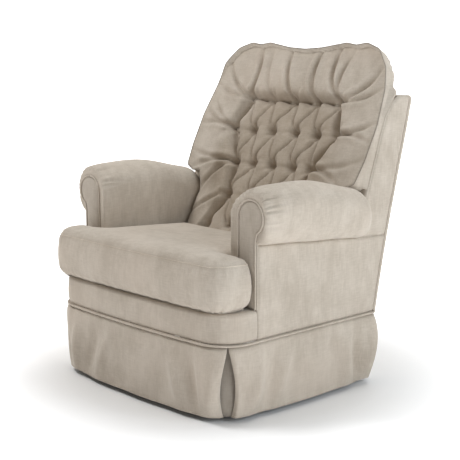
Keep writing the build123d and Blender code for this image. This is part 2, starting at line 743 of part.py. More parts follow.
with BuildPart() as pillow_outline:
    with BuildSketch(back_plane.offset(-60)):
        with BuildLine():
            right = (
                (298, -420),
                (298, WING_LOW),
                (362, WING_LOW),
                (RIM_HALF, 150),
                (350, 340),
                (322, 372),
                (262, TOP_UP),
                (160, TOP_UP),
                (0, 385),
            )
            left = [(-x, v) for x, v in reversed(right[:-1])]
            Polyline(*right, *left, close=True)
        make_face()
    extrude(amount=200)

with BuildPart() as back_pillow:
    with BuildSketch(back_side_plane.offset(-298)):
        with BuildLine():
            Polyline(
                (-420, PILLOW_BACK),
                (240, PILLOW_BACK),
                (240, PILLOW_FIELD),
                (-420, PILLOW_FIELD),
                close=True,
            )
        make_face()
    extrude(amount=2 * 298)
    with BuildSketch(back_side_plane.offset(-PILLOW_HALF)):
        with BuildLine():
            Polyline(
                (228, 8),
                (262, 8),
                (288, 14),
                (390, 16),
                (TOP_UP, 34),
                (TOP_UP, 82),
                (388, 100),
                (330, 104),
                (270, 86),
                (238, 48),
                close=True,
            )
        make_face()
    extrude(amount=2 * PILLOW_HALF)
    with BuildSketch(back_side_plane.offset(-RIM_HALF)):
        with BuildLine():
            Polyline(
                (WING_LOW, 46),
                (TOP_UP, 46),
                (TOP_UP, 82),
                (388, 100),
                (330, 104),
                (270, 86),
                (235, PILLOW_RIM),
                (WING_LOW, PILLOW_RIM),
                close=True,
            )
        make_face()
    extrude(amount=2 * RIM_HALF)
    with BuildSketch(back_side_plane.offset(-PILLOW_HALF)):
        with BuildLine():
            Polyline((WING_LOW, 18), (150, 18), (240, 8), (240, 50), (WING_LOW, 50), close=True)
        make_face()
    extrude(amount=2 * PILLOW_HALF)
    with BuildSketch(back_side_plane.offset(-WING_IN)):
        with BuildLine():
            Polyline(
                (WING_LOW - 10, PILLOW_FIELD),
                (238, PILLOW_FIELD),
                (246, 60),
                (262, 120),
                (WING_LOW - 10, 120),
                close=True,
            )
        make_face()
    extrude(amount=2 * WING_IN, mode=Mode.SUBTRACT)
    add(pillow_outline.part, mode=Mode.INTERSECT)
    with BuildSketch(Plane.XY.offset(CUSHION_Z)):
        Rectangle(1200, 1200)
    extrude(amount=-300, mode=Mode.SUBTRACT)
    with BuildSketch(back_plane.offset(-0.2)):
        with Locations(*((x, v) for v, xs in BUTTON_ROWS for x in xs)):
            Circle(BUTTON_R + 3)
    extrude(amount=80, mode=Mode.SUBTRACT)
write(back_pillow.part, "back_pillow")

with BuildPart() as tuft_buttons:
    with BuildSketch(back_plane):
        with Locations(*((x, v) for v, xs in BUTTON_ROWS for x in xs)):
            Circle(BUTTON_R)
    extrude(amount=7)
    rims = tuft_buttons.edges().filter_by(GeomType.CIRCLE)
    fillet(rims.group_by(lambda e: e.center().dot(Vector(OUT)))[-1], radius=3)
write(tuft_buttons.part, "tuft_buttons")

# ---------------------------------------------------------------- skirt
SKIRT_OUT = 6.0
with BuildPart() as skirt_welt:
    with BuildSketch(Plane.XY.offset(WELT_Z - 3.5)):
        with BuildLine():
            plan_outline(-7)
        make_face()
        with BuildLine():
            plan_outline(0)
        make_face(mode=Mode.SUBTRACT)
    extrude(amount=7)
write(skirt_welt.part, "skirt_welt")

BACK_CORNER = (BODY_HALF_W - BACK_R, BACK_Y - BACK_R)
FRONT_CORNER = (CORNER_X, CORNER_Y)
REACH = 200.0
HALF_GAP = 2.2


def corner(kind, side, reach=0.0, shift=(0.0, 0.0)):
    """A point on the diagonal through a body corner, reach outward."""
    x, y = FRONT_CORNER if kind == "front" else BACK_CORNER
    out_y = -reach if kind == "front" else reach
    return side * (x + reach) + shift[0], y + out_y + shift[1]


PANELS = (
    ("skirt_front", ("front", -1), ("front", 1), (0.0, -HALF_GAP)),
    ("skirt_back", ("back", -1), ("back", 1), (0.0, HALF_GAP)),
    ("skirt_left", ("front", 1), ("back", 1), (HALF_GAP, 0.0)),
    ("skirt_right", ("front", -1), ("back", -1), (-HALF_GAP, 0.0)),
)
for name, first, second, shift in PANELS:
    with BuildPart() as panel:
        with BuildSketch(Plane.XY.offset(HEM_Z)):
            with BuildLine():
                plan_outline(-SKIRT_OUT)
            make_face()
            with BuildLine():
                plan_outline(0)
            make_face(mode=Mode.SUBTRACT)
            with BuildSketch(Plane.XY.offset(HEM_Z), mode=Mode.PRIVATE) as sector:
                with BuildLine():
                    Polyline(
                        corner(*first, shift=shift),
                        corner(*first, reach=REACH, shift=shift),
                        corner(*second, reach=REACH, shift=shift),
                        corner(*second, shift=shift),
                        close=True,
                    )
                make_face()
            add(sector.sketch, mode=Mode.INTERSECT)
        extrude(amount=WELT_Z - 4.5 - HEM_Z)
    write(panel.part, name)

with BuildPart() as pleat_inserts:
    with BuildSketch(Plane.XY.offset(HEM_Z)):
        with BuildLine():
            plan_outline(0.5)
        make_face()
        with BuildLine():
            plan_outline(5.5)
        make_face(mode=Mode.SUBTRACT)
        with BuildSketch(Plane.XY.offset(HEM_Z), mode=Mode.PRIVATE) as corners:
            for side in (1, -1):
                for kind, turn in (("front", -45), ("back", 45)):
                    with Locations(Location((*corner(kind, side, 30), 0), (0, 0, side * turn))):
                        Rectangle(150, 72)
        add(corners.sketch, mode=Mode.INTERSECT)
    extrude(amount=WELT_Z - 4.5 - HEM_Z)
write(pleat_inserts.part, "pleat_inserts")

# ---------------------------------------------------------------- loose seat cushion
CUSHION_FRONT = -386.0
CUSHION_BOW = 10.0
CUSHION_HALF = 376.0
CUSHION_R = 86.0
CUSHION_IN = 281.0
EAR_Y = ARM_FRONT_Y - 7
CUSHION_GAP = 3.0
front_of_field = PILLOW_FIELD + CUSHION_GAP


def field_y(z):
    """Y of the plane just in front of the tufted field, at a height."""
    return TUFT_Y + (z - TUFT_Z) * math.tan(lean) - front_of_field / math.cos(lean)


with BuildPart() as cushion_plan:
    with BuildSketch(Plane.XY.offset(CUSHION_Z - 5)):
        with BuildLine():
            near = CUSHION_HALF - CUSHION_R
            diagonal = CUSHION_R * math.sqrt(0.5)
            corner_y = CUSHION_FRONT + CUSHION_R
            ThreePointArc((-near, CUSHION_FRONT), (0, CUSHION_FRONT - CUSHION_BOW), (near, CUSHION_FRONT))
            for side in (1, -1):
                mid = (side * (near + diagonal), corner_y - diagonal)
                ThreePointArc((side * near, CUSHION_FRONT), mid, (side * CUSHION_HALF, corner_y))
                Polyline(
                    (side * CUSHION_HALF, corner_y),
                    (side * CUSHION_HALF, EAR_Y),
                    (side * CUSHION_IN, EAR_Y),
                    (side * CUSHION_IN, 150),
                )
            Line((-CUSHION_IN, 150), (CUSHION_IN, 150))
        make_face()
    extrude(amount=200)

with BuildPart() as seat_cushion:
    with BuildSketch(side_plane.offset(-CUSHION_HALF)):
        with BuildLine():
            ThreePointArc((-400, 430), (-190, 446), (field_y(412), 412))
            Polyline((field_y(412), 412), (field_y(CUSHION_Z), CUSHION_Z), (-400, CUSHION_Z), (-400, 430))
        make_face()
    extrude(amount=2 * CUSHION_HALF)
    add(cushion_plan.part, mode=Mode.INTERSECT)
write(seat_cushion.part, "seat_cushion")
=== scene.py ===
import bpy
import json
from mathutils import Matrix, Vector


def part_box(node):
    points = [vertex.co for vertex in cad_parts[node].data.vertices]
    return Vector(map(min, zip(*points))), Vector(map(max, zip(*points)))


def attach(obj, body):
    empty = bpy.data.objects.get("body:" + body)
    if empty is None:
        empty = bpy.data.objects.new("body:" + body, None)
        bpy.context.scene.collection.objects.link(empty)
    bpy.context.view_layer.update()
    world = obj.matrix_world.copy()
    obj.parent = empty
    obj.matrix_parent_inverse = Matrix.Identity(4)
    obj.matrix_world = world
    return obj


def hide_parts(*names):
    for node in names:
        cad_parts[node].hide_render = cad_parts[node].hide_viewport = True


bl_info = {
    "name": "Tufted swivel glider armchair",
    "version": (1, 0, 0),
    "blender": (4, 5, 0),
    "location": "3D View > Sidebar > Chair",
    "description": "Upholstery, skirt, finishes and studio for a tufted swivel glider armchair",
    "category": "Object",
}

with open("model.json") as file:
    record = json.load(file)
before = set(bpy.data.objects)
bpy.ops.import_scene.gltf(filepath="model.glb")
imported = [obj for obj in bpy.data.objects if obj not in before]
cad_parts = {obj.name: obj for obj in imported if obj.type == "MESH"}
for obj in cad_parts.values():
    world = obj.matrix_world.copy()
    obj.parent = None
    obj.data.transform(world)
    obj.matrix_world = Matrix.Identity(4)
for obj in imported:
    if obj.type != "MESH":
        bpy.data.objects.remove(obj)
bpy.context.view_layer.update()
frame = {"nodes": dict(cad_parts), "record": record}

import json
import math

import bmesh
import bpy
import numpy as np
from bpy.props import FloatProperty, FloatVectorProperty, PointerProperty
from mathutils import Vector
from mathutils.geometry import delaunay_2d_cdt

MM = 0.001

# ---------------------------------------------------------------- sizes, in metres, from the frame
ARM_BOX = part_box("arm_pad_left")
SIDE_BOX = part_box("outside_arm_left")
APRON_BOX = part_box("front_apron")
CUSHION_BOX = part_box("seat_cushion")
BODY_HALF = SIDE_BOX[1][0]
ARM_FRONT = SIDE_BOX[0][1]
SEAT_Z = APRON_BOX[1][2]
FRAME_Z = APRON_BOX[0][2]
FRONT_R = 95 * MM
BACK_R = 25 * MM
APRON_BOW = 10 * MM
APRON_Y = APRON_BOX[0][1] + APRON_BOW
BACK_Y = 252 * MM
HEM_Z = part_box("skirt_front")[0][2]
SKIRT_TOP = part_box("skirt_front")[1][2]
WELT_Z = sum(c[2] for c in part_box("skirt_welt")) / 2
SKIRT_DROP = SKIRT_TOP - HEM_Z
SIDES = ((1, "left"), (-1, "right"))

# The tufting plane leans back: UP runs along it, OUT comes out of it towards the sitter
LEAN = math.radians(27.2)
TUFT = np.array([0.0, 223 * MM, 605 * MM])
UP = np.array([0.0, math.sin(LEAN), math.cos(LEAN)])
OUT = np.array([0.0, -math.cos(LEAN), math.sin(LEAN)])

# Rows of buttons: height up the tufting plane and places across it, in millimetres
BUTTON_ROWS = (
    (222, (-192, -97, 0, 97, 192)),
    (115, (-224, -138, -50, 50, 138, 224)),
    (2, (-166, -86, 0, 86, 166)),
    (-108, (-145, -48, 48, 145)),
)
BUTTONS = [(x * MM, v * MM) for v, xs in BUTTON_ROWS for x in xs]


# ---------------------------------------------------------------- curves and outlines
def smoothstep(x, lo, hi):
    """0 up to lo, 1 from hi on, and smooth between."""
    t = np.clip((x - lo) / (hi - lo), 0, 1)
    return t * t * (3 - 2 * t)


def through(table, x):
    """A smooth curve through (position, value) pairs."""
    xs = np.array([p[0] for p in table], float)
    ys = np.array([p[1] for p in table], float)
    slope = np.gradient(ys, xs)
    x = np.clip(np.asarray(x, float), xs[0], xs[-1])
    i = np.clip(np.searchsorted(xs, x) - 1, 0, len(xs) - 2)
    h = xs[i + 1] - xs[i]
    t = (x - xs[i]) / h
    a = (2 * t**3 - 3 * t**2 + 1) * ys[i] + (t**3 - 2 * t**2 + t) * h * slope[i]
    return a + (-2 * t**3 + 3 * t**2) * ys[i + 1] + (t**3 - t**2) * h * slope[i + 1]


def respace(points, step, closed=True):
    """Points spaced evenly along a polyline."""
    points = np.asarray(points, float)
    if closed:
        points = np.vstack([points, points[:1]])
    run = np.linalg.norm(np.diff(points, axis=0), axis=1)
    along = np.concatenate([[0], np.cumsum(run)])
    count = max(int(round(along[-1] / step)), 8)
    at = np.linspace(0, along[-1], count + 1)
    out = np.stack([np.interp(at, along, points[:, k]) for k in range(points.shape[1])], axis=1)
    return out[:-1] if closed else out


def arc(centre, radius, start, end, steps):
    """Points along an arc, from one angle to another in degrees."""
    turns = np.radians(np.linspace(start, end, steps))
    return [(centre[0] + radius * math.cos(a), centre[1] + radius * math.sin(a)) for a in turns]


def rounded(corners, radii, arc_steps=10):
    """A closed outline of straight runs with rounded corners."""
    corners = np.asarray(corners, float)
    straight = 0.01  # a turn under this many radians is left as it is
    most = 0.49  # share of a run that one corner may take
    out = []
    for i, (p, r) in enumerate(zip(corners, radii)):
        a = corners[i - 1] - p
        b = corners[(i + 1) % len(corners)] - p
        la, lb = np.linalg.norm(a), np.linalg.norm(b)
        a, b = a / la, b / lb
        half = math.acos(float(np.clip(a @ b, -1, 1))) / 2
        if r <= 0 or abs(half - math.pi / 2) < straight:
            out.append(p)
            continue
        reach = min(r / math.tan(half), most * la, most * lb)
        start, end = p + a * reach, p + b * reach
        for t in np.linspace(0, 1, arc_steps + 1):
            out.append((1 - t) ** 2 * start + 2 * t * (1 - t) * p + t**2 * end)
    return np.array(out)


def outward(points):
    """Outward normals of a closed outline that runs anticlockwise."""
    tangent = np.roll(points, -1, axis=0) - np.roll(points, 1, axis=0)
    normal = np.stack([tangent[:, 1], -tangent[:, 0]], axis=1)
    return normal / np.linalg.norm(normal, axis=1)[:, None]


def anticlockwise(points):
    """A closed outline, turned round if it runs clockwise."""
    x, y = points[:, 0], points[:, 1]
    area = np.sum(x * np.roll(y, -1) - np.roll(x, -1) * y)
    return points if area > 0 else points[::-1]


def distance_to(points, line, closed=True):
    """Distance from each point to a polyline, and where along it the nearest place is, 0 to 1."""
    line = np.asarray(line, float)
    a = line
    b = np.roll(line, -1, axis=0) if closed else line[1:]
    a = a if closed else line[:-1]
    run = np.linalg.norm(b - a, axis=1)
    start = np.concatenate([[0], np.cumsum(run)])[:-1]
    best = np.full(len(points), 1e9)
    place = np.zeros(len(points))
    for i in range(len(a)):
        d = b[i] - a[i]
        t = np.clip(((points - a[i]) @ d) / max(d @ d, 1e-12), 0, 1)
        gap = np.linalg.norm(points - a[i] - t[:, None] * d, axis=1)
        near = gap < best
        best = np.where(near, gap, best)
        place = np.where(near, start[i] + t * run[i], place)
    return best, place / max(run.sum(), 1e-9)


def inside(points, outline):
    """Which points are inside a closed outline."""
    a, b = outline, np.roll(outline, -1, axis=0)
    hit = np.zeros(len(points), bool)
    x, y = points[:, 0], points[:, 1]
    for (x1, y1), (x2, y2) in zip(a, b):
        crosses = (y1 > y) != (y2 > y)
        if not crosses.any():
            continue
        at = x1 + (y - y1) * (x2 - x1) / (y2 - y1 if y2 != y1 else 1e-12)
        hit ^= crosses & (x < at)
    return hit


def plan_outline(inset=0.0, step=2 * MM):
    """The body in plan, anticlockwise from the middle of the back, with outward normals."""
    half = BODY_HALF - inset
    front = APRON_Y + inset
    back = BACK_Y - inset
    points = arc((-(half - BACK_R), back - BACK_R), BACK_R, 90, 180, 24)
    points += arc((-(half - FRONT_R), front + FRONT_R), FRONT_R, 180, 270, 40)
    left = [(-x, y) for x, y in points][::-1]
    span = half - FRONT_R
    for x in np.linspace(-span, span, 60)[1:-1]:
        points.append((x, front - APRON_BOW * (1 - (x / span) ** 2)))
    outline = respace(np.array(points + left), step)
    return outline, outward(outline)


def run_of(keep):
    """Indices of the kept points of a closed outline, in order from where the run begins."""
    start = int(np.argmax(keep & ~np.roll(keep, 1)))
    order = np.roll(np.arange(len(keep)), -start)
    return order[keep[order]]


def plan_stretch(test, inset=0.0, step=3 * MM):
    """The part of the plan outline whose points pass the test, in order, with normals."""
    outline, normals = plan_outline(inset, step)
    order = run_of(test(outline))
    return outline[order], normals[order]


def at_height(plan, z):
    """Points in plan, set at a height."""
    return np.column_stack([plan, np.full(len(plan), z)])


def at_depth(cut, y):
    """Points of a cut across the chair, set at a depth."""
    return np.column_stack([cut[:, 0], np.full(len(cut), y), cut[:, 1]])


def flat_back(height):
    """A hidden rear face at one height."""
    return lambda points, gap: np.full(len(points), height)


# ---------------------------------------------------------------- meshes
def piece(name, verts, faces, body, material, replaces=()):
    """A mesh object that rides on a body, finish and the CAD nodes it stands for."""
    mesh = bpy.data.meshes.new(name)
    mesh.from_pydata(np.asarray(verts, float).tolist(), [], faces)
    mesh.update()
    bm = bmesh.new()
    bm.from_mesh(mesh)
    bmesh.ops.recalc_face_normals(bm, faces=bm.faces)
    bm.to_mesh(mesh)
    bm.free()
    for poly in mesh.polygons:
        poly.use_smooth = True
    obj = bpy.data.objects.new(name, mesh)
    bpy.context.scene.collection.objects.link(obj)
    mesh.materials.append(material)
    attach(obj, body)
    if replaces:
        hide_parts(*replaces)
    return obj


def sewn(name, verts, faces, replaces=(), tone="upholstery", fill=None):
    """A piece of the chair's cloth on the seat body; fill is not used."""
    obj = piece(name, verts, faces, "seat", finish(tone), replaces)
    return obj


def grid_faces(rows, cols, wrap=False):
    """Quads of a grid of points, row by row; wrap joins the last column to the first."""
    faces = []
    for r in range(rows - 1):
        for c in range(cols if wrap else cols - 1):
            d = (c + 1) % cols
            faces.append((r * cols + c, r * cols + d, (r + 1) * cols + d, (r + 1) * cols + c))
    return faces


def triangulated(outline, spacing):
    """Triangles inside an outline: points with the outline first, and faces."""
    lo, hi = outline.min(axis=0), outline.max(axis=0)
    rows = np.arange(lo[1], hi[1], spacing * 0.87)  # rows of near-equilateral triangles
    inner = []
    for k, y in enumerate(rows):
        xs = np.arange(lo[0] + (k % 2) * spacing / 2, hi[0], spacing)
        inner.append(np.stack([xs, np.full(len(xs), y)], axis=1))
    inner = np.vstack(inner)
    inner = inner[inside(inner, outline)]
    gap, _ = distance_to(inner, outline)
    inner = inner[gap > 0.6 * spacing]
    points = np.vstack([outline, inner])
    n = len(outline)
    edges = [(i, (i + 1) % n) for i in range(n)]
    made = delaunay_2d_cdt([Vector(p) for p in points], edges, [], 1, 1e-7)
    faces = [tuple(f) for f in made[2]]
    return points, faces


def shell(outline, spacing, face, rings, back):
    """A closed padded form over an outline in a plane.

    face and back give the height over the plane for points and their distance to the edge;
    rings are (outward offset, height) pairs, or functions giving them, that make the border.
    Returns plane coordinates, heights and faces.
    """
    normals = outward(outline)
    flat, tris = triangulated(outline, spacing)
    gap, _ = distance_to(flat, outline)
    gap[: len(outline)] = 0
    n = len(outline)
    plane = [flat]
    high = [face(flat, gap)]
    faces = list(tris)
    previous = list(range(n))
    count = len(flat)
    for offset, height in rings:
        off = offset(outline) if callable(offset) else np.full(n, offset)
        level = height(outline) if callable(height) else np.full(n, height)
        plane.append(outline + normals * off[:, None])
        high.append(level)
        ring = list(range(count, count + n))
        for i in range(n):
            j = (i + 1) % n
            faces.append((previous[i], previous[j], ring[j], ring[i]))
        previous = ring
        count += n
    under = flat[n:]
    plane.append(under)
    high.append(back(under, gap[n:]))
    shift = count - n
    mapping = {i: previous[i] for i in range(n)}
    for tri in tris:
        faces.append(tuple(mapping.get(i, i + shift) for i in reversed(tri)))
    return np.vstack(plane), np.concatenate(high), faces


def tube(line, radius, sides=8, closed=False):
    """Points and faces of a round tube along a line of points."""
    line = np.asarray(line, float)
    n = len(line)
    if closed:
        tangent = np.roll(line, -1, axis=0) - np.roll(line, 1, axis=0)
    else:
        tangent = np.gradient(line, axis=0)
    tangent /= np.linalg.norm(tangent, axis=1)[:, None]
    up = np.array([0.0, 0.0, 1.0])
    if abs(tangent[0] @ up) > 0.9:
        up = np.array([0.0, 1.0, 0.0])
    side = np.zeros_like(line)
    previous = np.cross(tangent[0], up)
    previous /= np.linalg.norm(previous)
    for i in range(n):
        s = previous - tangent[i] * (previous @ tangent[i])
        s /= np.linalg.norm(s)
        side[i] = s
        previous = s
    over = np.cross(tangent, side)
    angles = np.linspace(0, 2 * math.pi, sides, endpoint=False)
    rings = [line + radius * (math.cos(a) * side + math.sin(a) * over) for a in angles]
    verts = np.stack(rings, axis=1).reshape(-1, 3)
    faces = grid_faces(n, sides, wrap=True)
    if closed:
        for c in range(sides):
            d = (c + 1) % sides
            faces.append(((n - 1) * sides + c, (n - 1) * sides + d, d, c))
    else:
        faces.append(tuple(range(sides))[::-1])
        faces.append(tuple((n - 1) * sides + c for c in range(sides)))
    return verts, faces


def joined(parts):
    """Several (points, faces) as one."""
    verts, faces, base = [], [], 0
    for v, f in parts:
        verts.append(v)
        faces += [tuple(i + base for i in face) for face in f]
        base += len(v)
    return np.vstack(verts), faces


def closed_strip(outer, inner):
    """A closed shell between two grids of the same shape."""
    rows, cols = outer.shape[:2]
    verts = np.vstack([outer.reshape(-1, 3), inner.reshape(-1, 3)])
    front = grid_faces(rows, cols)
    shift = rows * cols
    faces = front + [tuple(i + shift for i in f[::-1]) for f in front]
    ring = list(range(cols)) + [r * cols + cols - 1 for r in range(1, rows)]
    ring += [(rows - 1) * cols + c for c in range(cols - 2, -1, -1)]
    ring += [r * cols for r in range(rows - 2, 0, -1)]
    for a, b in zip(ring, ring[1:] + ring[:1]):
        faces.append((a, b, b + shift, a + shift))
    return verts, faces


# ---------------------------------------------------------------- shader building
class Value:
    """A shader socket; arithmetic on it adds Math nodes."""

    def __init__(self, nodes, socket):
        self.nodes = nodes
        self.socket = socket

    def math(self, operation, *others):
        inputs = {i: o for i, o in enumerate((self, *others))}
        return self.nodes.add("ShaderNodeMath", {"operation": operation}, inputs)

    def __add__(self, other):
        return self.math("ADD", other)

    __radd__ = __add__

    def __mul__(self, other):
        return self.math("MULTIPLY", other)

    __rmul__ = __mul__

    def __sub__(self, other):
        return self.math("SUBTRACT", other)

    def __rsub__(self, other):
        return self.nodes.add("ShaderNodeMath", {"operation": "SUBTRACT"}, {0: other, 1: self})

    def ranged(self, low, high):
        """0 at low and 1 at high, smoothly."""
        settings = {"interpolation_type": "SMOOTHSTEP"}
        inputs = {"Value": self, "From Min": low, "From Max": high}
        return self.nodes.add("ShaderNodeMapRange", settings, inputs)


class Nodes:
    """A material's node tree, and one way to add any node to it."""

    def __init__(self, name):
        self.material = bpy.data.materials.new(name)
        self.material.use_nodes = True
        self.tree = self.material.node_tree
        self.tree.nodes.clear()
        self.output = self.tree.nodes.new("ShaderNodeOutputMaterial")

    def add(self, kind, settings=None, inputs=None, output=0):
        """Any node: its own settings, what its sockets hold or are linked to, and the output used."""
        node = self.tree.nodes.new(kind)
        for key, value in (settings or {}).items():
            setattr(node, key, value)
        for key, value in (inputs or {}).items():
            if isinstance(value, Value):
                self.tree.links.new(value.socket, node.inputs[key])
            else:
                node.inputs[key].default_value = value
        return Value(self, node.outputs[output])

    def mix(self, factor, low, high, blend="MIX"):
        """A mix of two colours."""
        settings = {"data_type": "RGBA", "blend_type": blend}
        low = low if isinstance(low, Value) else (*low, 1.0)
        high = high if isinstance(high, Value) else (*high, 1.0)
        return self.add("ShaderNodeMix", settings, {0: factor, 6: low, 7: high}, output=2)

    def stretched(self, scale):
        """Coordinates fixed to the piece, scaled along each axis."""
        place = self.add("ShaderNodeTexCoord", output=3)
        return self.add("ShaderNodeVectorMath", {"operation": "MULTIPLY"}, {0: place, 1: scale})

    def noise(self, coords, scale, detail=2.0, rough=0.5):
        inputs = {"Vector": coords, "Scale": scale, "Detail": detail, "Roughness": rough}
        return self.add("ShaderNodeTexNoise", {"noise_dimensions": "3D"}, inputs)

    def surface(self, constants, **varying):
        """The shader itself: constants go on its own sockets, varying ones are linked."""
        shader = self.tree.nodes.new("ShaderNodeBsdfPrincipled")
        for key, value in constants.items():
            shader.inputs[key].default_value = value
        for key, value in varying.items():
            self.tree.links.new(value.socket, shader.inputs[key.replace("_", " ")])
        self.tree.links.new(shader.outputs[0], self.output.inputs[0])
        return self.material

    def bump(self, height, strength, distance):
        inputs = {"Strength": strength, "Distance": distance, "Height": height}
        return self.add("ShaderNodeBump", {}, inputs)


def microsuede(name, light, dark, field=None):
    """Brushed microsuede: cloudy nap, faint slubs both ways, fine bump and a soft sheen.

    field is (centre, near, far): inside it the cloth is painted darker, painted shade in the middle of the
    tufted back.
    """
    n = Nodes(name)
    coords = n.stretched((1.0, 1.0, 1.0))
    clouds = n.noise(coords, 7.0, 4.0, 0.6)
    brushed = n.noise(n.stretched((28.0, 28.0, 11.0)), 1.0, 3.0, 0.6)
    down = n.noise(n.stretched((330.0, 330.0, 30.0)), 1.0, 2.0, 0.5)
    across = n.noise(n.stretched((40.0, 40.0, 420.0)), 1.0, 2.0, 0.5)
    grain = n.noise(coords, 900.0, 2.0, 0.5)
    shade = (clouds - 0.5) * 0.9 + (brushed - 0.5) * 0.9
    threads = (down - 0.5) * 0.7 + (across - 0.5) * 0.7
    tone = (shade * 1.15 + threads * 0.85 + 0.5).ranged(0.0, 1.0)
    colour = n.mix(tone, dark, light)
    rosy = n.noise(coords, 4.0, 2.0, 0.5).ranged(0.45, 0.75)
    warm = tuple(c * w for c, w in zip(light, (1.0, 0.955, 0.93)))
    colour = n.mix(rosy * 0.35, colour, warm)
    if field:
        centre, near, far = field
        place = n.stretched((1.0, 0.5, 1.0))
        apart = n.add("ShaderNodeVectorMath", {"operation": "DISTANCE"}, {0: place, 1: centre}, output=1)
        # Painted shade: the cloth darkens towards the middle of the field
        painted_shade_colour = n.mix(1.0, colour, (0.80, 0.765, 0.72), "MULTIPLY")
        colour = n.mix((apart + (clouds - 0.5) * 0.08).ranged(near, far), painted_shade_colour, colour)
    height = down * 0.35 + across * 0.35 + grain * 0.3 + brushed * 0.25
    rough = 0.86 + (brushed - 0.5) * 0.12
    constants = {"Sheen Weight": 0.35, "Sheen Roughness": 0.45, "Sheen Tint": (0.95, 0.92, 0.87, 1.0),
                 "Specular IOR Level": 0.18}
    return n.surface(constants, Base_Color=colour, Roughness=rough, Normal=n.bump(height, 0.35, 0.0009))


def plain_cloth(name, light, dark, scale):
    """Flat woven or felted cloth for hidden parts."""
    n = Nodes(name)
    weave = n.noise(n.stretched((scale, scale * 0.2, scale)), 1.0, 2.0, 0.5)
    cross = n.noise(n.stretched((scale * 0.2, scale, scale)), 1.0, 2.0, 0.5)
    threads = (weave + cross) * 0.5
    colour = n.mix(threads.ranged(0.35, 0.65), dark, light)
    rough = 0.9 + (threads - 0.5) * 0.1
    return n.surface({"Specular IOR Level": 0.2}, Base_Color=colour, Roughness=rough,
                     Normal=n.bump(threads, 0.4, 0.0006))


def timber(name, light, dark, plies=False):
    """Sawn timber with long grain; plywood shows its plies on the edges."""
    n = Nodes(name)
    grain = n.noise(n.stretched((14.0, 2.2, 60.0)), 1.0, 5.0, 0.65)
    pores = n.noise(n.stretched((90.0, 12.0, 240.0)), 1.0, 2.0, 0.5)
    tone = (grain * 0.75 + pores * 0.25).ranged(0.3, 0.7)
    if plies:
        layers = n.noise(n.stretched((620.0, 3.0, 3.0)), 1.0, 0.0, 0.5)
        tone = tone * 0.6 + layers * 0.4
    colour = n.mix(tone, dark, light)
    rough = 0.62 + (pores - 0.5) * 0.2
    return n.surface({"Specular IOR Level": 0.3}, Base_Color=colour, Roughness=rough,
                     Normal=n.bump(pores, 0.25, 0.0005))


def metal(name, colour, worn, metallic, rough_value, grain_scale):
    """Steel with a faint rolled grain and rubbed places."""
    n = Nodes(name)
    coords = n.stretched((1.0, 1.0, 1.0))
    grain = n.noise(n.stretched((grain_scale, grain_scale * 0.08, grain_scale)), 1.0, 3.0, 0.5)
    rubbed = n.noise(coords, 22.0, 4.0, 0.65).ranged(0.58, 0.8)
    tone = n.mix(rubbed * 0.6, colour, worn)
    rough = rough_value + (grain - 0.5) * 0.18 + rubbed * 0.08
    return n.surface({"Metallic": metallic}, Base_Color=tone, Roughness=rough,
                     Normal=n.bump(grain, 0.15, 0.0003))


def moulded(name, light, dark, rough_value):
    """Rubber and nylon: slight clouding and a moulded skin."""
    n = Nodes(name)
    coords = n.stretched((1.0, 1.0, 1.0))
    clouds = n.noise(coords, 60.0, 3.0, 0.6)
    skin = n.noise(coords, 700.0, 2.0, 0.5)
    return n.surface({"Specular IOR Level": 0.35}, Base_Color=n.mix(clouds.ranged(0.3, 0.7), dark, light),
                     Roughness=rough_value + (skin - 0.5) * 0.1, Normal=n.bump(skin, 0.2, 0.0003))


MATERIALS = {}


def finish(slot):
    """The material of a slot."""
    return MATERIALS[slot]


# ---------------------------------------------------------------- tufted back
SEAM_OUT = 60 * MM  # front seam of the back, out of the tufting plane
PILLOW_STEP = 4 * MM


def pillow_outline():
    """The back seen along OUT, in x and height up the lean, closed and anticlockwise."""
    right = [
        (296, -352, 12),
        (296, -46, 6),
        (330, -50, 10),
        (364, -34, 16),
        (373, 40, 60),
        (374, 150, 90),
        (358, 262, 60),
        (344, 330, 26),
        (300, 386, 30),
        (247, 405, 26),
        (205, 398, 20),
        (165, 405, 30),
        (70, 388, 40),
    ]
    corners = [(x * MM, v * MM, r * MM) for x, v, r in right]
    left = [(-x, v, r) for x, v, r in reversed(corners)]
    every = corners + [(0.0, 383 * MM, 40 * MM)] + left
    loop = rounded([c[:2] for c in every], [c[2] for c in every])
    return anticlockwise(respace(loop, PILLOW_STEP))


def soft_min(parts, k):
    """A smooth minimum of several surfaces."""
    stack = np.stack(parts)
    low = stack.min(axis=0)
    return low - k * np.log(np.exp(-(stack - low) / k).sum(axis=0))


def button_rows():
    """Button places, row by row, in metres."""
    return [[(x * MM, v * MM) for x in xs] for v, xs in BUTTON_ROWS]


# Where the valley beside the field runs on below the lowest row of buttons
VALLEY_LOW = (190 * MM, -215 * MM)
VALLEY_FOOT = (262 * MM, -345 * MM)
FIELD_FOOT = (262 * MM, -420 * MM)


def creases():
    """Creases between buttons: diamonds inside, and the valley that runs around the field."""
    rows = button_rows()
    beside = 75 * MM  # buttons of two rows are joined when they are no further apart than this
    diamonds = []
    for upper, lower in zip(rows[:-1], rows[1:]):
        for a in upper:
            for b in sorted(lower, key=lambda q: abs(a[0] - q[0]))[:2]:
                if abs(a[0] - b[0]) < beside:
                    diamonds.append((a, b))
        for b in lower:
            for a in sorted(upper, key=lambda q: abs(q[0] - b[0]))[:2]:
                if abs(a[0] - b[0]) < beside and (a, b) not in diamonds:
                    diamonds.append((a, b))
    for x, v in rows[-1]:
        for shift in (-44 * MM, 44 * MM):
            diamonds.append(((x, v), (x + shift, v - 105 * MM)))
    valley = list(zip(rows[0][:-1], rows[0][1:]))
    for end, side in ((0, -1), (-1, 1)):
        ring = [row[end] for row in rows]
        ring += [(side * x, v) for x, v in (VALLEY_LOW, VALLEY_FOOT)]
        valley += list(zip(ring[:-1], ring[1:]))
    return diamonds, valley


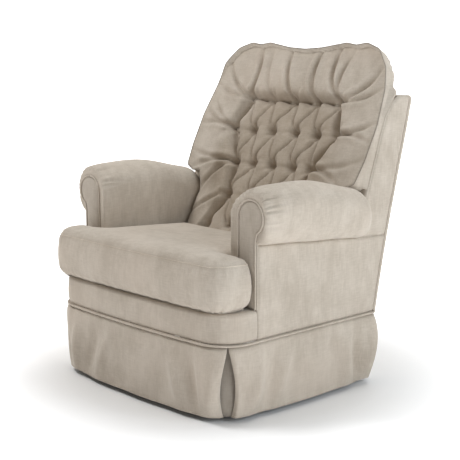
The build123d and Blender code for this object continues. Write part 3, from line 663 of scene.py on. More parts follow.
def field_outline():
    """The outline of the buttoned field, within the rolls."""
    right = [row[-1] for row in button_rows()] + [VALLEY_LOW, FIELD_FOOT]
    left = [(-x, v) for x, v in reversed(right)]
    return np.array(right + left)


# Folds that run out from the outer buttons over the rolls: button, far end, bend, depth, width
FOLDS = (
    ((0, 222), (-62, 392), 22, 11, 7),
    ((-97, 222), (-150, 400), 16, 5, 8),
    ((97, 222), (70, 396), 24, 12, 7),
    ((97, 222), (46, 330), 14, 6, 6),
    ((192, 222), (140, 403), 26, 12, 7),
    ((192, 222), (196, 380), 20, 9, 7),
    ((192, 222), (330, 345), -24, 9, 8),
    ((192, 222), (352, 268), -14, 8, 7),
    ((-192, 222), (-205, 398), -14, 10, 7),
    ((-192, 222), (-330, 345), 20, 10, 8),
    ((-192, 222), (-356, 262), 14, 6, 7),
    ((224, 115), (368, 160), -12, 8, 7),
    ((224, 115), (371, 92), 10, 6, 6),
    ((-224, 115), (-368, 176), 12, 7, 7),
    ((-224, 115), (-372, 116), -8, 7, 7),
    ((-224, 115), (-352, 224), 14, 5, 7),
    ((166, 2), (300, -44), 12, 7, 7),
    ((166, 2), (366, 40), -14, 5, 8),
    ((-166, 2), (-330, -40), -12, 9, 8),
    ((-166, 2), (-290, -120), -8, 7, 7),
    ((-166, 2), (-366, 20), 10, 6, 7),
    ((-145, -108), (-286, -190), -6, 7, 7),
    ((145, -108), (286, -190), 6, 7, 7),
    ((145, -108), (280, -80), 8, 6, 7),
)


CREASE_FLOOR = 4 * MM  # how far off the tufting plane a crease bottoms out
PUFF_RISE = 60 * MM  # height of the stuffing between creases, inside the field
ROLL_RISE = 106 * MM  # height the rolls would reach far from any crease
EDGE_ROLL = 62 * MM  # width over which the pillow rolls up from its seam


def lift(t, mid, power):
    """A crease's floor between two buttons: nothing at its ends and mid halfway."""
    return mid * np.clip(4 * t * (1 - t), 0, 1) ** power


def roll_crease(points, ends):
    """The rise of the rolls from one run of the valley."""
    gap, t = distance_to(points, np.array(ends), closed=False)
    return CREASE_FLOOR + lift(t, 3 * MM, 0.7) + ROLL_RISE * (1 - np.exp(-((gap / (30 * MM)) ** 0.9)))


def puff(points, ends, mid, reach):
    """The rise of the puffs from one gently bowed crease of the field."""
    start, end = np.array(ends[0]), np.array(ends[1])
    way = end - start
    aside = np.array([-way[1], way[0]]) * 0.07
    share = np.linspace(0, 1, 9)[:, None]
    bowed = start + way * share + aside * np.sin(share * 2 * math.pi)
    gap, t = distance_to(points, bowed, closed=False)
    floor = lift(t, mid, 0.6)
    dome = 1 - np.clip(1 - gap / reach, 0, 1) ** 2
    return CREASE_FLOOR + floor + (PUFF_RISE - floor) * np.sqrt(dome)


def fold_depth(points, fold):
    """How deep one fold lies at each point, with a low ridge along each side of it."""
    start, end, bend, depth, width = fold
    a, b = np.array(start) * MM, np.array(end) * MM
    way = b - a
    aside = np.array([-way[1], way[0]]) / np.linalg.norm(way)
    t = np.linspace(0, 1, 18)[:, None]
    line = a + way * t + aside * bend * MM * (4 * t * (1 - t))
    gap, at = distance_to(points, line, closed=False)
    fade = smoothstep(at, 0.0, 0.08) * (1 - 0.75 * smoothstep(at, 0.55, 1.0))
    hollow = np.exp(-((gap / (width * MM)) ** 2))
    ridge = np.exp(-(((gap - 2.1 * width * MM) / (1.4 * width * MM)) ** 2))
    return 1.35 * depth * MM * fade * (hollow - 0.36 * ridge)


def pillow_face(points, gap):
    """Height of the tufted front over the tufting plane."""
    diamonds, valley = creases()
    outline = field_outline()
    field = inside(points, outline)
    edge_gap, _ = distance_to(points, outline)
    within = smoothstep(np.where(field, edge_gap, -edge_gap), -5 * MM, 5 * MM)
    inner = [puff(points, ends, 31 * MM, 52 * MM) for ends in diamonds]
    inner += [puff(points, ends, 5 * MM, 60 * MM) for ends in valley]
    outer = [roll_crease(points, ends) for ends in valley]
    pulls = np.zeros(len(points))
    pull_depth = np.where(field, 1.2, 2.2) * MM * smoothstep(gap, 0, 30 * MM)
    pull_reach = 16 * MM
    for x, v in BUTTONS:
        r = np.hypot(points[:, 0] - x, points[:, 1] - v)
        pit = 1 * MM + 66 * MM * (1 - np.exp(-((r / (22 * MM)) ** 1.25)))
        inner.append(pit)
        outer.append(pit + 8 * MM)
        turn = np.arctan2(points[:, 1] - v, points[:, 0] - x)
        pull = np.sin(turn * 6 + x * 41 + v * 17) + 0.6 * np.sin(turn * 11 + v * 53)
        pulls += pull_depth * pull * (r / pull_reach) * np.exp(1 - r / pull_reach)
    roll = np.clip(1 - gap / EDGE_ROLL, 0, 1)
    seam = seam_height(points) + 52 * MM * np.sqrt(1 - roll**2.4)
    low = smoothstep(-points[:, 1], 46 * MM, 110 * MM)
    outer_low = 30 * MM + 26 * MM * (1 - np.exp(-gap / (20 * MM)))
    outside_form = soft_min(outer + [seam], 4.5 * MM)
    outside_form = outside_form * (1 - low) + np.minimum(outside_form, outer_low) * low
    inside_form = soft_min(inner, 3.6 * MM)
    wobble = 3 * MM * np.sin(points[:, 0] * 23 + 1.3) * np.sin(points[:, 1] * 17 + 0.4)
    form = inside_form * within + outside_form * (1 - within) + pulls + wobble * smoothstep(gap, 0, 40 * MM)
    for fold in FOLDS:
        form = form - fold_depth(points, fold)
    form[gap <= 0] = seam_height(points[gap <= 0])
    return form


def seam_height(points):
    """Where the front seam runs, out of the tufting plane."""
    top = smoothstep(points[:, 1], 250 * MM, 360 * MM)
    low = smoothstep(-points[:, 1], 46 * MM, 110 * MM)
    return SEAM_OUT + 16 * MM * top - 30 * MM * low


# Front edge of the side covers in the tufting plane's own terms: height up it, and out of it
SIDE_EDGE = np.array([(-60, 3), (-33, 5.4), (65, 23.5), (189, 39.7), (254, 28.3), (300, 18), (400, 16)]) * MM


def pillow_back(points, gap=None):
    """Height of the hidden rear face."""
    aside = np.abs(points[:, 0])
    side = smoothstep(aside, 296 * MM, 346 * MM)
    top = smoothstep(points[:, 1], 228 * MM, 262 * MM)
    low = smoothstep(points[:, 1], -60 * MM, -44 * MM)
    proud = np.maximum(side * low, top)
    beyond = smoothstep(aside, 344 * MM, 352 * MM) * low
    side_edge = np.interp(points[:, 1], SIDE_EDGE[:, 0], SIDE_EDGE[:, 1]) - 2 * MM
    return (-10 * MM + proud * 28 * MM) * (1 - beyond) + side_edge * beyond


def on_back(plane, height):
    """Points given in the tufting plane and a height over it, in the row's frame."""
    return TUFT + np.outer(plane[:, 0], (1, 0, 0)) + np.outer(plane[:, 1], UP) + np.outer(height, OUT)


def level(share):
    """A height between the front seam, at 0, and the rear face, at 1."""
    return lambda points: seam_height(points) * (1 - share) + pillow_back(points) * share


def bulge(amount):
    """An outward offset of the border, less where the pillow goes down between the arms."""
    return lambda points: amount * (1 - 0.8 * smoothstep(-points[:, 1], 30 * MM, 70 * MM))


def hug(rest):
    """An offset that reaches out to the side covers where the pillow meets them."""

    def at(points):
        aside = np.abs(points[:, 0])
        side = smoothstep(aside, 326 * MM, 340 * MM) * (points[:, 1] > -30 * MM)
        side = side * (1 - smoothstep(points[:, 1], 268 * MM, 300 * MM))
        reach = np.clip(375.2 * MM - aside, -4 * MM, 17 * MM)
        return rest * (1 - side) + reach * side

    return at


def build_pillow(props):
    """The tufted back and the seam round its front."""
    outline = pillow_outline()
    rings = [
        (bulge(0.6 * MM), lambda p: seam_height(p) - 1.5 * MM),
        (bulge(1.6 * MM), level(0.06)),
        (bulge(2.2 * MM), level(0.2)),
        (bulge(2.2 * MM), level(0.4)),
        (bulge(1.4 * MM), level(0.62)),
        (hug(-1.5 * MM), level(0.84)),
        (hug(-4.5 * MM), level(1.0)),
    ]
    plane, height, faces = shell(outline, PILLOW_STEP, pillow_face, rings, pillow_back)
    verts = on_back(plane, height)
    verts[:, 2] = np.maximum(verts[:, 2], SEAT_Z + 2 * MM)
    # The tufted tone carries painted shade in the middle of the field
    sewn("back_cushion", verts, faces, ["back_pillow"], "tufted", fill=props.back_fill)
    order = run_of(outline[:, 1] > -52 * MM)
    seam_line = outline + outward(outline) * 1.8 * MM
    line = on_back(seam_line[order], seam_height(outline[order]) - 0.4 * MM)
    verts, faces = tube(respace(line, 6 * MM, closed=False), 1.6 * MM, 6)
    # A darker tone of the cloth: painted shade in the groove along the seam
    sewn("back_cushion_seam", verts, faces, tone="seam_painted_shade")


# A button cut through its middle: radius and height, in millimetres, from the top down
BUTTON_PROFILE = ((0.0, 6.4), (3.0, 6.2), (6.0, 5.3), (8.4, 3.8), (10.0, 1.8), (10.4, 0.2), (9.6, -1.6),
                  (6.0, -3.0), (0.0, -3.2))
BUTTON_SIDES = 20


def build_buttons(props):
    """Cloth-covered buttons, domed, with a rolled rim."""
    scale = props.button_size / (21 * MM)
    profile = [(radius * scale * MM, height * MM) for radius, height in BUTTON_PROFILE]
    sides = BUTTON_SIDES
    rows = len(profile) - 2
    faces = grid_faces(rows, sides, wrap=True)
    for i in range(sides):
        j = (i + 1) % sides
        faces.append((j, i, rows * sides))
        faces.append(((rows - 1) * sides + i, (rows - 1) * sides + j, rows * sides + 1))
    parts = []
    for k, (x, v) in enumerate(BUTTONS):
        ring = []
        for radius, height in profile[1:-1]:
            for i in range(sides):
                a = 2 * math.pi * i / sides
                ring.append((x + radius * math.cos(a), v + radius * math.sin(a), height))
        ring += [(x, v, profile[0][1]), (x, v, profile[-1][1])]
        ring = np.array(ring)
        tilt = 0.10 * math.sin(k * 2.4)
        beside_roll = abs(x) > 180 * MM
        base = (19.5 if beside_roll else 7.5) * MM + tilt * (ring[:, 0] - x)
        parts.append((on_back(ring[:, :2], ring[:, 2] + base), faces))
    verts, faces = joined(parts)
    # The tufted tone carries painted shade in the middle of the field
    sewn("tufting_buttons", verts, faces, ["tuft_buttons"], "tufted")


# ---------------------------------------------------------------- arms
ROLL_X = 365 * MM
ROLL_HALF = 63 * MM
ROLL_HIGH = 66 * MM
FACING_X = 360 * MM
FACING_Z = 549 * MM
FACING_R = 46 * MM
ARM_FOOT = SEAT_Z + 1.5 * MM
ARM_TOP = ((-0.252, 0.6215), (-0.22, 0.628), (-0.17, 0.6325), (-0.11, 0.6335), (0.01, 0.6225), (0.09, 0.604),
           (0.16, 0.586), (0.21, 0.568), (0.25, 0.546))
ARM_CREASE = ((-0.252, 0.4785), (-0.15, 0.471), (0.045, 0.458), (0.168, 0.449), (0.25, 0.4445))
WALL_POINTS, ROLL_POINTS, UNDER_POINTS = 16, 60, 26


def arm_section(y):
    """The arm cut across at y: up the inside, over the roll and in to the crease."""
    top = float(through(ARM_TOP, y))
    crease = float(through(ARM_CREASE, y))
    shoulder = top - ROLL_HIGH
    inner = ROLL_X - ROLL_HALF
    swell = 21 * MM * (1 - float(smoothstep(y, -0.13, 0.05)))  # the inside is fuller towards the front
    heights = np.linspace(ARM_FOOT, shoulder, WALL_POINTS)
    wall = [(inner - swell * float(smoothstep(z, 0.31, 0.42)), z) for z in heights]
    inward = inner - wall[-1][0]
    roll = []
    for a in np.linspace(math.pi, 0, ROLL_POINTS)[1:]:
        x = ROLL_X + (ROLL_HALF + inward * max(-math.cos(a), 0)) * math.cos(a)
        roll.append((x, shoulder + ROLL_HIGH * math.sin(a)))
    p0 = np.array([ROLL_X + ROLL_HALF, shoulder])
    p3 = np.array([BODY_HALF - 3 * MM, crease + 1 * MM])
    p1 = p0 - (0, 0.62 * (shoulder - crease))
    p2 = p3 + (31 * MM, -3 * MM)
    under = []
    for t in np.linspace(0, 1, UNDER_POINTS)[1:]:
        under.append((1 - t) ** 3 * p0 + 3 * t * (1 - t) ** 2 * p1 + 3 * t * t * (1 - t) * p2 + t**3 * p3)
    return np.array(wall + roll + under)


def facing_edge(grow=0.0):
    """The keyhole edge of the arm front, in step with arm_section."""
    r = FACING_R + grow
    inner = FACING_X - r
    wall = [(inner, z) for z in np.linspace(ARM_FOOT, FACING_Z, WALL_POINTS)]
    roll = []
    for a in np.linspace(math.pi, 0, ROLL_POINTS)[1:]:
        roll.append((FACING_X + r * math.cos(a), FACING_Z + r * math.sin(a)))
    under = []
    turn = math.radians(-58)  # how far the arc runs below the middle of the roll
    on_arc = 0.6  # share of the points under the roll that lie on the arc
    steps = UNDER_POINTS - 1
    arc_end = np.array([FACING_X + r * math.cos(turn), FACING_Z + r * math.sin(turn)])
    neck = np.array([BODY_HALF - 1.5 * MM + grow * 0.4, 489 * MM])
    for k in range(1, steps + 1):
        t = k / steps
        if t < on_arc:
            a = turn * t / on_arc
            under.append((FACING_X + r * math.cos(a), FACING_Z + r * math.sin(a)))
        else:
            s = (t - on_arc) / (1 - on_arc)
            mid = np.array([neck[0] + 1.5 * MM, arc_end[1] - 8 * MM])
            under.append(tuple((1 - s) ** 2 * arc_end + 2 * s * (1 - s) * mid + s * s * neck))
    return np.array([tuple(p) for p in wall + roll + under])


ROLL_END = 0.144  # where the roll begins to turn down at the back
ARM_TURN = 27 * MM  # depth over which the arm's front turns into its sides
# Gathers at the arm front: angle round the roll, depth and width, in degrees and millimetres
GATHERS = ((168, 3.4, 4.2), (156, 2.4, 3.6), (143, 3.8, 4.4), (133, 2.0, 3.2), (121, 3.6, 4.0),
           (108, 2.2, 3.6), (97, 2.8, 3.6), (84, 2.0, 3.4), (73, 3.2, 4.0), (61, 2.4, 3.4),
           (50, 3.8, 3.8), (39, 3.4, 3.2), (28, 4.0, 3.6), (17, 3.2, 3.2), (5, 3.0, 3.4),
           (-9, 2.6, 3.6), (-24, 2.2, 3.8))


def gather_depth(points, back):
    """How deep the gathers at the arm front are, by angle around the roll and distance back."""
    angle = np.degrees(np.arctan2(points[:, 1] - FACING_Z - 4 * MM, points[:, 0] - ROLL_X))
    depth = np.zeros(len(points))
    for k, (centre, deep, wide) in enumerate(GATHERS):
        long = (38 + 17 * math.sin(k * 2.1)) * MM
        sway = 3.0 * math.sin(k * 1.7) * back / (50 * MM)
        shape = np.exp(-(((angle - centre - sway) / wide) ** 2))
        depth += 2.5 * deep * MM * shape * math.exp(-((back / long) ** 2))
    return depth


def build_arm(side, name):
    """One arm: the padded roll with its inside, gathered to the facing."""
    edge = facing_edge(2.5 * MM)
    count = np.arange(len(edge))
    inner_side = 1 - smoothstep(count, WALL_POINTS, WALL_POINTS + 14)
    outer_share = smoothstep(count, WALL_POINTS - 3, WALL_POINTS + 4)
    front_y = ARM_FRONT + 1.5 * MM
    section = arm_section(front_y + ARM_TURN)
    rows = []
    for theta in np.linspace(0, math.pi / 2, 14):
        over, within = math.sin(theta) ** 0.6, math.sin(theta) ** 0.3
        share = (over + (within - over) * inner_side)[:, None]
        swell = 9 * MM * math.sin(2 * theta) * (0.45 + 0.55 * inner_side)
        y = front_y + ARM_TURN * (1 - math.cos(theta)) - swell
        rows.append((y, edge + (section - edge) * share, ARM_TURN * math.sin(theta)))
    near = np.linspace(front_y + ARM_TURN + 4 * MM, front_y + 90 * MM, 14)
    for y in [*near, *np.linspace(front_y + 98 * MM, ROLL_END, 36)]:
        rows.append((y, arm_section(y), y - front_y))
    verts = []
    for y, ring, back in rows:
        normal = np.gradient(ring, axis=0)
        normal = np.stack([-normal[:, 1], normal[:, 0]], axis=1)
        normal /= np.linalg.norm(normal, axis=1)[:, None] + 1e-12
        depth = gather_depth(ring, back) * min(1.0, back / (6 * MM))
        soft = 1.1 * MM * np.sin(back * 31 + count * 0.11) * min(1.0, back / (60 * MM))
        verts.append(at_depth(ring - normal * ((depth + soft) * outer_share)[:, None], y))
    last = rows[-1][1]
    centre = np.array([373 * MM, 490 * MM])  # the point the rear end closes on
    for phi in np.linspace(0, math.pi / 2, 12)[1:]:
        ring = centre + (arm_section(ROLL_END + 30 * MM * math.sin(phi)) - centre) * math.cos(phi) ** 0.52
        ring[:, 1] = np.maximum(ring[:, 1], np.minimum(last[:, 1], ARM_FOOT))
        verts.append(at_depth(ring, ROLL_END + 40 * MM * math.sin(phi)))
    rings, cols = len(verts), len(edge)
    verts = np.vstack(verts)
    faces = grid_faces(rings, cols)
    faces.append(tuple(range(cols)))
    faces.append(tuple((rings - 1) * cols + c for c in range(cols)))
    foot = [r * cols for r in range(rings)][::-1]
    faces.append(tuple(foot + [r * cols + cols - 1 for r in range(rings)]))
    verts[:, 0] *= side
    sewn(f"arm_{name}", verts, faces, [f"arm_pad_{name}"], fill=0.85)


def keyhole_loop(grow):
    """The whole keyhole outline, closed, with its post going down to the seat."""
    edge = facing_edge(grow)
    low = np.array([(edge[-1][0], z) for z in np.linspace(edge[-1][1], ARM_FOOT, 30)[1:]])
    return np.vstack([edge, low])


def build_facing(side, name):
    """The flat front of the arm, slightly domed."""
    loop = anticlockwise(respace(keyhole_loop(-2.4 * MM), 3 * MM))

    def dome(points, gap):
        return 3.0 * MM * (1 - np.exp(-gap / (9 * MM)))

    rings = [(0.2 * MM, -1.0 * MM), (0.0, -4.5 * MM)]
    plane, height, faces = shell(loop, 4 * MM, dome, rings, flat_back(-4.5 * MM))
    verts = np.stack([plane[:, 0] * side, ARM_FRONT + 1.0 * MM - height, plane[:, 1]], axis=1)
    # The facing tone is darker: painted shade on the arm fronts
    sewn(f"facing_{name}", verts, faces, [f"arm_facing_{name}"], "facing", fill=0.9)


# The welts round an arm front: growth of the keyhole, distance behind its plane, first point
FACING_WELTS = ((2.0, -0.4, 0), (8.6, 4.2, 50))


def build_facing_welts():
    """The double welt round each arm front."""
    parts = []
    for side, _ in SIDES:
        for grow, behind, first in FACING_WELTS:
            line = respace(keyhole_loop(grow * MM)[first:], 3 * MM, closed=False)
            path = at_depth(line * np.array([side, 1]), ARM_FRONT + behind * MM)
            parts.append(tube(path, 2.3 * MM, 8))
    verts, faces = joined(parts)
    sewn("facing_piping", verts, faces, ["facing_welts"])


# ---------------------------------------------------------------- covers over the frame
# Rear edge of the sides: height and depth
REAR = ((0.219, 0.238), (0.333, 0.2605), (0.442, 0.2845), (0.526, 0.305), (0.631, 0.332), (0.733, 0.359),
        (0.836, 0.384))
SIDE_PARTING = 0.442  # height at which the arm's outside meets the back's
BACK_TOP = 0.836


def rear_y(z):
    """Depth of the rear edge of the sides at a height."""
    return through(REAR, z)


def side_panel(name, loop, replaces, side, crown):
    """A cover panel on the side of the body: gently padded, with rolled edges."""
    loop = anticlockwise(respace(loop, 6 * MM))

    def face(points, gap):
        edge = 4 * MM
        roll = np.sqrt(np.clip(edge**2 - np.clip(edge - gap, 0, edge) ** 2, 0, None))
        waves = 0.7 * MM * np.sin(points[:, 0] * 21 + 2) * np.sin(points[:, 1] * 15 + 1)
        return roll + crown * (1 - np.exp(-gap / (60 * MM))) + waves * smoothstep(gap, 0, 50 * MM)

    plane, height, faces = shell(loop, 9 * MM, face, [(0.0, -1.5 * MM)], flat_back(-1.5 * MM))
    verts = np.column_stack([side * (BODY_HALF - 4 * MM + height), plane])
    sewn(name, verts, faces, replaces, fill=0.9)


# Front edge of the side covers above the arm, from the top down
WING_FRONT = ((0.318, 0.843), (0.300, 0.825), (0.274, 0.791), (0.252, 0.735), (0.232, 0.674), (0.199, 0.578),
              (0.182, 0.53), (0.170, 0.4485))


def rear_run(low, high, steps):
    """Points down inside the rear edge of the sides, from one height to another."""
    return [(float(rear_y(z)) - 1 * MM, z) for z in np.linspace(low, high, steps)]


def build_sides():
    """The outside of each arm, and of the back above it."""
    front, foot = ARM_FRONT + 8 * MM, FRAME_Z - 2 * MM
    parting = [(0.25, 0.4455), (0.168, 0.449), (0.045, 0.458), (-0.15, 0.471), (front, 0.4775)]
    arm = [(front, foot), *rear_run(foot, SIDE_PARTING - 0.5 * MM, 18), *parting]
    back = [*rear_run(SIDE_PARTING + 0.5 * MM, BACK_TOP + 2 * MM, 30), (0.376, 0.8495), (0.332, 0.8495)]
    back += WING_FRONT
    for side, name in SIDES:
        side_panel(f"outside_arm_cover_{name}", arm, [f"outside_arm_{name}"], side, 1.6 * MM)
        side_panel(f"back_side_cover_{name}", back, [f"back_wing_{name}"], side, 1.0 * MM)


def build_edge_wraps():
    """Cloth turned round the front edges of the back boards."""
    edge = np.array(WING_FRONT[::-1])
    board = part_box("back_board_left")
    across = np.linspace(board[0][0] - 6 * MM, BODY_HALF - 1.5 * MM, 9)
    middle, half = (across[0] + across[-1]) / 2, (across[-1] - across[0]) / 2
    turned = 4 * MM * ((across - middle) / half) ** 4 - 3 * MM
    parts = []
    for side, _ in SIDES:
        rows = []
        for z in np.linspace(0.45, 0.838, 44):
            y = np.interp(z, edge[:, 1], edge[:, 0]) + turned
            rows.append(at_height(np.column_stack([side * across, y]), z))
        outer = np.array(rows)
        parts.append(closed_strip(outer, outer + np.array([0, 2.2 * MM, 0])))
    verts, faces = joined(parts)
    sewn("back_edge_wraps", verts, faces)


def build_outside_back():
    """The back panel: flat with a little padding, rolled round the sides and over the top."""
    padding = 12 * MM
    side_r, top_r = 8.5 * MM, 13 * MM
    lip = 3 * MM
    half = BODY_HALF
    cross = [(half, 0.0), (half, lip), *arc((half - side_r, lip), side_r, 0, 90, 8)[1:]]
    for x in np.linspace(half - 14 * MM, 0, 30):
        cross.append((x, padding + 2.5 * MM * (1 - (x / half) ** 4)))
    cross = np.array(cross + [(-x, y) for x, y in cross[:-1]][::-1])
    x, behind = cross.T
    rows = []
    for z in np.linspace(FRAME_Z, BACK_TOP - 2 * MM, 60):
        waves = 0.8 * MM * np.sin(x * 14 + z * 9) * (np.abs(x) < 0.36)
        rows.append(at_height(np.column_stack([x, rear_y(z) + behind + waves]), z))
    for a in np.linspace(0, 90, 8)[1:]:
        turn = math.radians(a)
        y = rear_y(BACK_TOP) + behind - top_r * (1 - math.cos(turn))
        narrowed = x * (1 - 0.004 * a / 90)
        rows.append(at_height(np.column_stack([narrowed, y]), BACK_TOP + top_r * math.sin(turn)))
    for forward in (8, 18, 30, 38):
        y = np.minimum(rows[-1][:, 1], rear_y(BACK_TOP) - forward * MM + 2 * MM)
        rows.append(at_height(np.column_stack([x * 0.994, y]), BACK_TOP + 12.5 * MM))
    outer = np.array(rows)
    inner = outer.copy()
    inner[:, :, 1] -= 5 * MM
    inner[:, :, 0] *= 0.988
    inner[-12:, :, 2] -= 4 * MM
    verts, faces = closed_strip(outer, inner)
    sewn("outside_back_cover", verts, faces, ["outside_back"], fill=0.9)


def build_apron():
    """The panel under the cushion, wrapped round the front corners and over the front edge."""
    path, normals = plan_stretch(lambda p: p[:, 1] < ARM_FRONT + 8 * MM)
    face_rows = 12
    top_r = 12 * MM
    shoulder = SEAT_Z - 13 * MM
    rows = []
    for t in np.linspace(0, 1, face_rows):
        off = 1.8 * MM * math.sin(math.pi * min(t * 1.1, 1)) - 3.0 * MM * math.exp(-t * 14)
        waves = 0.8 * MM * np.sin(np.arange(len(path)) * 0.06) * math.sin(math.pi * t)
        rows.append(at_height(path + normals * (off + waves)[:, None], FRAME_Z + t * (shoulder - FRAME_Z)))
    for a in np.radians(np.linspace(0, 90, 9)[1:]):
        rows.append(at_height(path - normals * top_r * (1 - math.cos(a)), shoulder + top_r * math.sin(a)))
    for inward in (20, 30, 42):
        rows.append(at_height(path - normals * inward * MM, SEAT_Z - 1 * MM))
    outer = np.array(rows)
    inner = outer.copy()
    inner[:face_rows, :, :2] = path - normals * 5 * MM
    inner[face_rows:, :, :2] -= normals * 4 * MM
    inner[face_rows:, :, 2] -= 4 * MM
    verts, faces = closed_strip(outer, inner)
    sewn("apron_cover", verts, faces, ["front_apron"], fill=0.9)


# Left half of the deck's outline in front of the arms, from the arm to the middle
DECK_NOSE = ((0.35, -0.275), (0.32, -0.325), (0.28, -0.345))


def build_deck():
    """The quilted deck under the loose cushion, and the dust cloth under the frame."""
    half = ARM_BOX[0][0] - 3 * MM
    front = ARM_FRONT - 2 * MM
    right = [(half, 0.09), (half, front), (0.35, front), *DECK_NOSE]
    loop = [(-x, y) for x, y in reversed(right)]
    loop = loop[-2:] + right + loop[:-2]
    loop = anticlockwise(respace(rounded(loop, [8 * MM] * len(loop), 4), 10 * MM))
    square = 120 * MM  # side of the quilting

    def quilt(points, gap):
        across, along = np.sin(points.T * math.pi / square)
        return 6 * MM + np.minimum(gap, 8 * MM) * 0.4 + 1.2 * MM * np.abs(across * along)

    plane, height, faces = shell(loop, 14 * MM, quilt, [(0.0, 0.5 * MM)], flat_back(0.5 * MM))
    verts = np.column_stack([plane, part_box("deck_pad")[0][2] + height])
    deck = piece("seat_deck", verts, faces, "seat", finish("deck_cloth"), ["deck_pad"])
    lo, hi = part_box("dust_cover")
    outline, _ = plan_outline(10 * MM, 12 * MM)

    def sag(points, gap):
        return 0.9 * MM - 0.8 * MM * smoothstep(gap, 0, 90 * MM)

    def above(points, gap):
        return sag(points, gap) - 0.7 * MM

    plane, height, faces = shell(anticlockwise(outline), 26 * MM, sag, [(0.0, 0.2 * MM)], above)
    verts = np.column_stack([plane, hi[2] - 2.4 * MM + height])
    spun = finish("dust_cloth")
    cloth = piece("dust_cloth_panel", verts, faces, "seat", spun, ["dust_cover"])


# ---------------------------------------------------------------- seat cushion
# Height of the cushion's top seam, by depth
CUSHION_SEAM = ((-0.40, 0.429), (-0.33, 0.430), (-0.26, 0.426), (-0.1, 0.418), (0.08, 0.406))
CUSHION_FOOT = CUSHION_BOX[0][2] + 1.5 * MM


# The cushion's side between its seams: how far down each ring lies, from the top seam at 0
CUSHION_LEVELS = (0.05, 0.13, 0.24, 0.36, 0.5, 0.64, 0.76, 0.86, 0.93, 0.975, 1.0)


def cushion_outline():
    """The cushion in plan: wide in front of the arms, narrow between them."""
    half = 368 * MM
    inner = 276.5 * MM
    front = CUSHION_BOX[0][1] + 19 * MM
    ear = ARM_FRONT - 11 * MM
    rear = CUSHION_BOX[1][1] - 12 * MM
    right = [(half, front), (half, ear), (inner, ear), (inner, rear)]
    corners = right + [(-x, y) for x, y in reversed(right)]
    radii = [r * MM for r in (92, 16, 10, 30, 30, 10, 16, 92)]
    loop = respace(rounded(corners, radii, 16), 5 * MM)
    bow = smoothstep(-loop[:, 1], -(front + 90 * MM), -front)
    loop[:, 1] -= 9 * MM * bow * (1 - (loop[:, 0] / half) ** 2)
    return anticlockwise(loop)


def cushion_seam(points):
    """Height of the top seam."""
    return through(CUSHION_SEAM, points[:, 1])


def distance_along(points):
    """How far round the outline each point lies."""
    run = np.linalg.norm(np.diff(np.vstack([points[-1:], points]), axis=0), axis=1)
    return np.cumsum(run)


def ruffle(points):
    """Short waves beside the seam."""
    along = np.arctan2(points[:, 1] + 0.25, points[:, 0]) * 60
    return np.sin(along) * np.sin(along * 0.37 + 1)


def puckers(points, share):
    """How far the cloth is drawn in beside its seams; most of all at the front corners."""
    front = smoothstep(-points[:, 1], 0.27, 0.33)
    corner = np.exp(-(((np.abs(points[:, 0]) - 0.33) / 0.06) ** 2)) * front
    turns = distance_along(points) * 2 * math.pi
    fine = np.sin(turns / (15 * MM)) * np.sin(turns / (61 * MM) + 1)
    top_fold = math.exp(-((share - 0.05) / 0.16) ** 2)
    foot_fold = math.exp(-((share - 1.0) / 0.24) ** 2)
    return -(corner * 3.0 + front * 0.9) * MM * fine * (top_fold + 1.35 * foot_fold)


def cushion_ring(share):
    """One ring of the cushion's side: how far out and how high it lies."""

    def offset(points):
        outer_side = smoothstep(np.abs(points[:, 0]), 0.335, 0.362) * (points[:, 1] < ARM_FRONT)
        open_edge = 0.1 + 0.9 * np.maximum(smoothstep(-points[:, 1], 0.266, 0.30), outer_side)
        belly = 12 * MM * math.sin(math.pi * share) ** 0.75 * open_edge
        tuck = -13 * MM * max(0.0, (share - 0.8) / 0.2) ** 2
        return belly + tuck + puckers(points, share)

    def height(points):
        low = CUSHION_FOOT + 2 * MM * np.sin(distance_along(points) * 2 * math.pi / (83 * MM)) ** 2
        return cushion_seam(points) * (1 - share) + low * share

    return offset, height


def build_cushion(props):
    """The loose cushion, crowned and a little dished, with the seam round its front."""
    outline = cushion_outline()
    edge_roll = 46 * MM  # width over which the top rolls up from its seam

    def top(points, gap):
        turn_over = np.clip(1 - gap / edge_roll, 0, 1)
        dome = 0.62 * np.sqrt(1 - turn_over**2.2) + 0.38 * (1 - np.exp(-gap / (90 * MM)))
        dish = 7 * MM * np.exp(-((points[:, 0] / 0.17) ** 2 + ((points[:, 1] + 0.12) / 0.16) ** 2))
        waves = 1.2 * MM * np.sin(points[:, 0] * 17 + 1) * np.sin(points[:, 1] * 13 + 2)
        short = np.exp(-(gap / (26 * MM)) ** 2) * ruffle(points) * 1.0 * MM
        rise = props.cushion_crown * dome - dish
        return cushion_seam(points) + rise + (waves + short) * smoothstep(gap, 0, 12 * MM)

    rings = [cushion_ring(share) for share in CUSHION_LEVELS]
    plane, height, faces = shell(outline, 7 * MM, top, rings, flat_back(CUSHION_FOOT))
    lean_limit = TUFT[1] + (height - TUFT[2]) * math.tan(LEAN) - 37 * MM / math.cos(LEAN)
    plane[:, 1] = np.minimum(plane[:, 1], lean_limit)
    verts = np.column_stack([plane, height])
    cloth = finish("upholstery")
    form = piece("seat_cushion_form", verts, faces, "cushion", cloth, ["seat_cushion"])
    order = run_of(outline[:, 1] < ARM_FRONT - 4 * MM)
    ring = outline[order] + outward(outline)[order] * 0.6 * MM
    line = np.column_stack([ring, cushion_seam(outline[order]) + 0.4 * MM])
    verts, faces = tube(respace(line, 6 * MM, closed=False), 1.3 * MM, 6)
    # The seam tone is paler: painted highlight along the seam
    piece("cushion_top_seam", verts, faces, "cushion", finish("seam"))


# ---------------------------------------------------------------- skirt
# Long waves of a skirt panel: pitch in metres, depth in millimetres, phase
SKIRT_WAVES = ((0.21, 2.6, 0.4), (0.34, 3.0, 2.2))
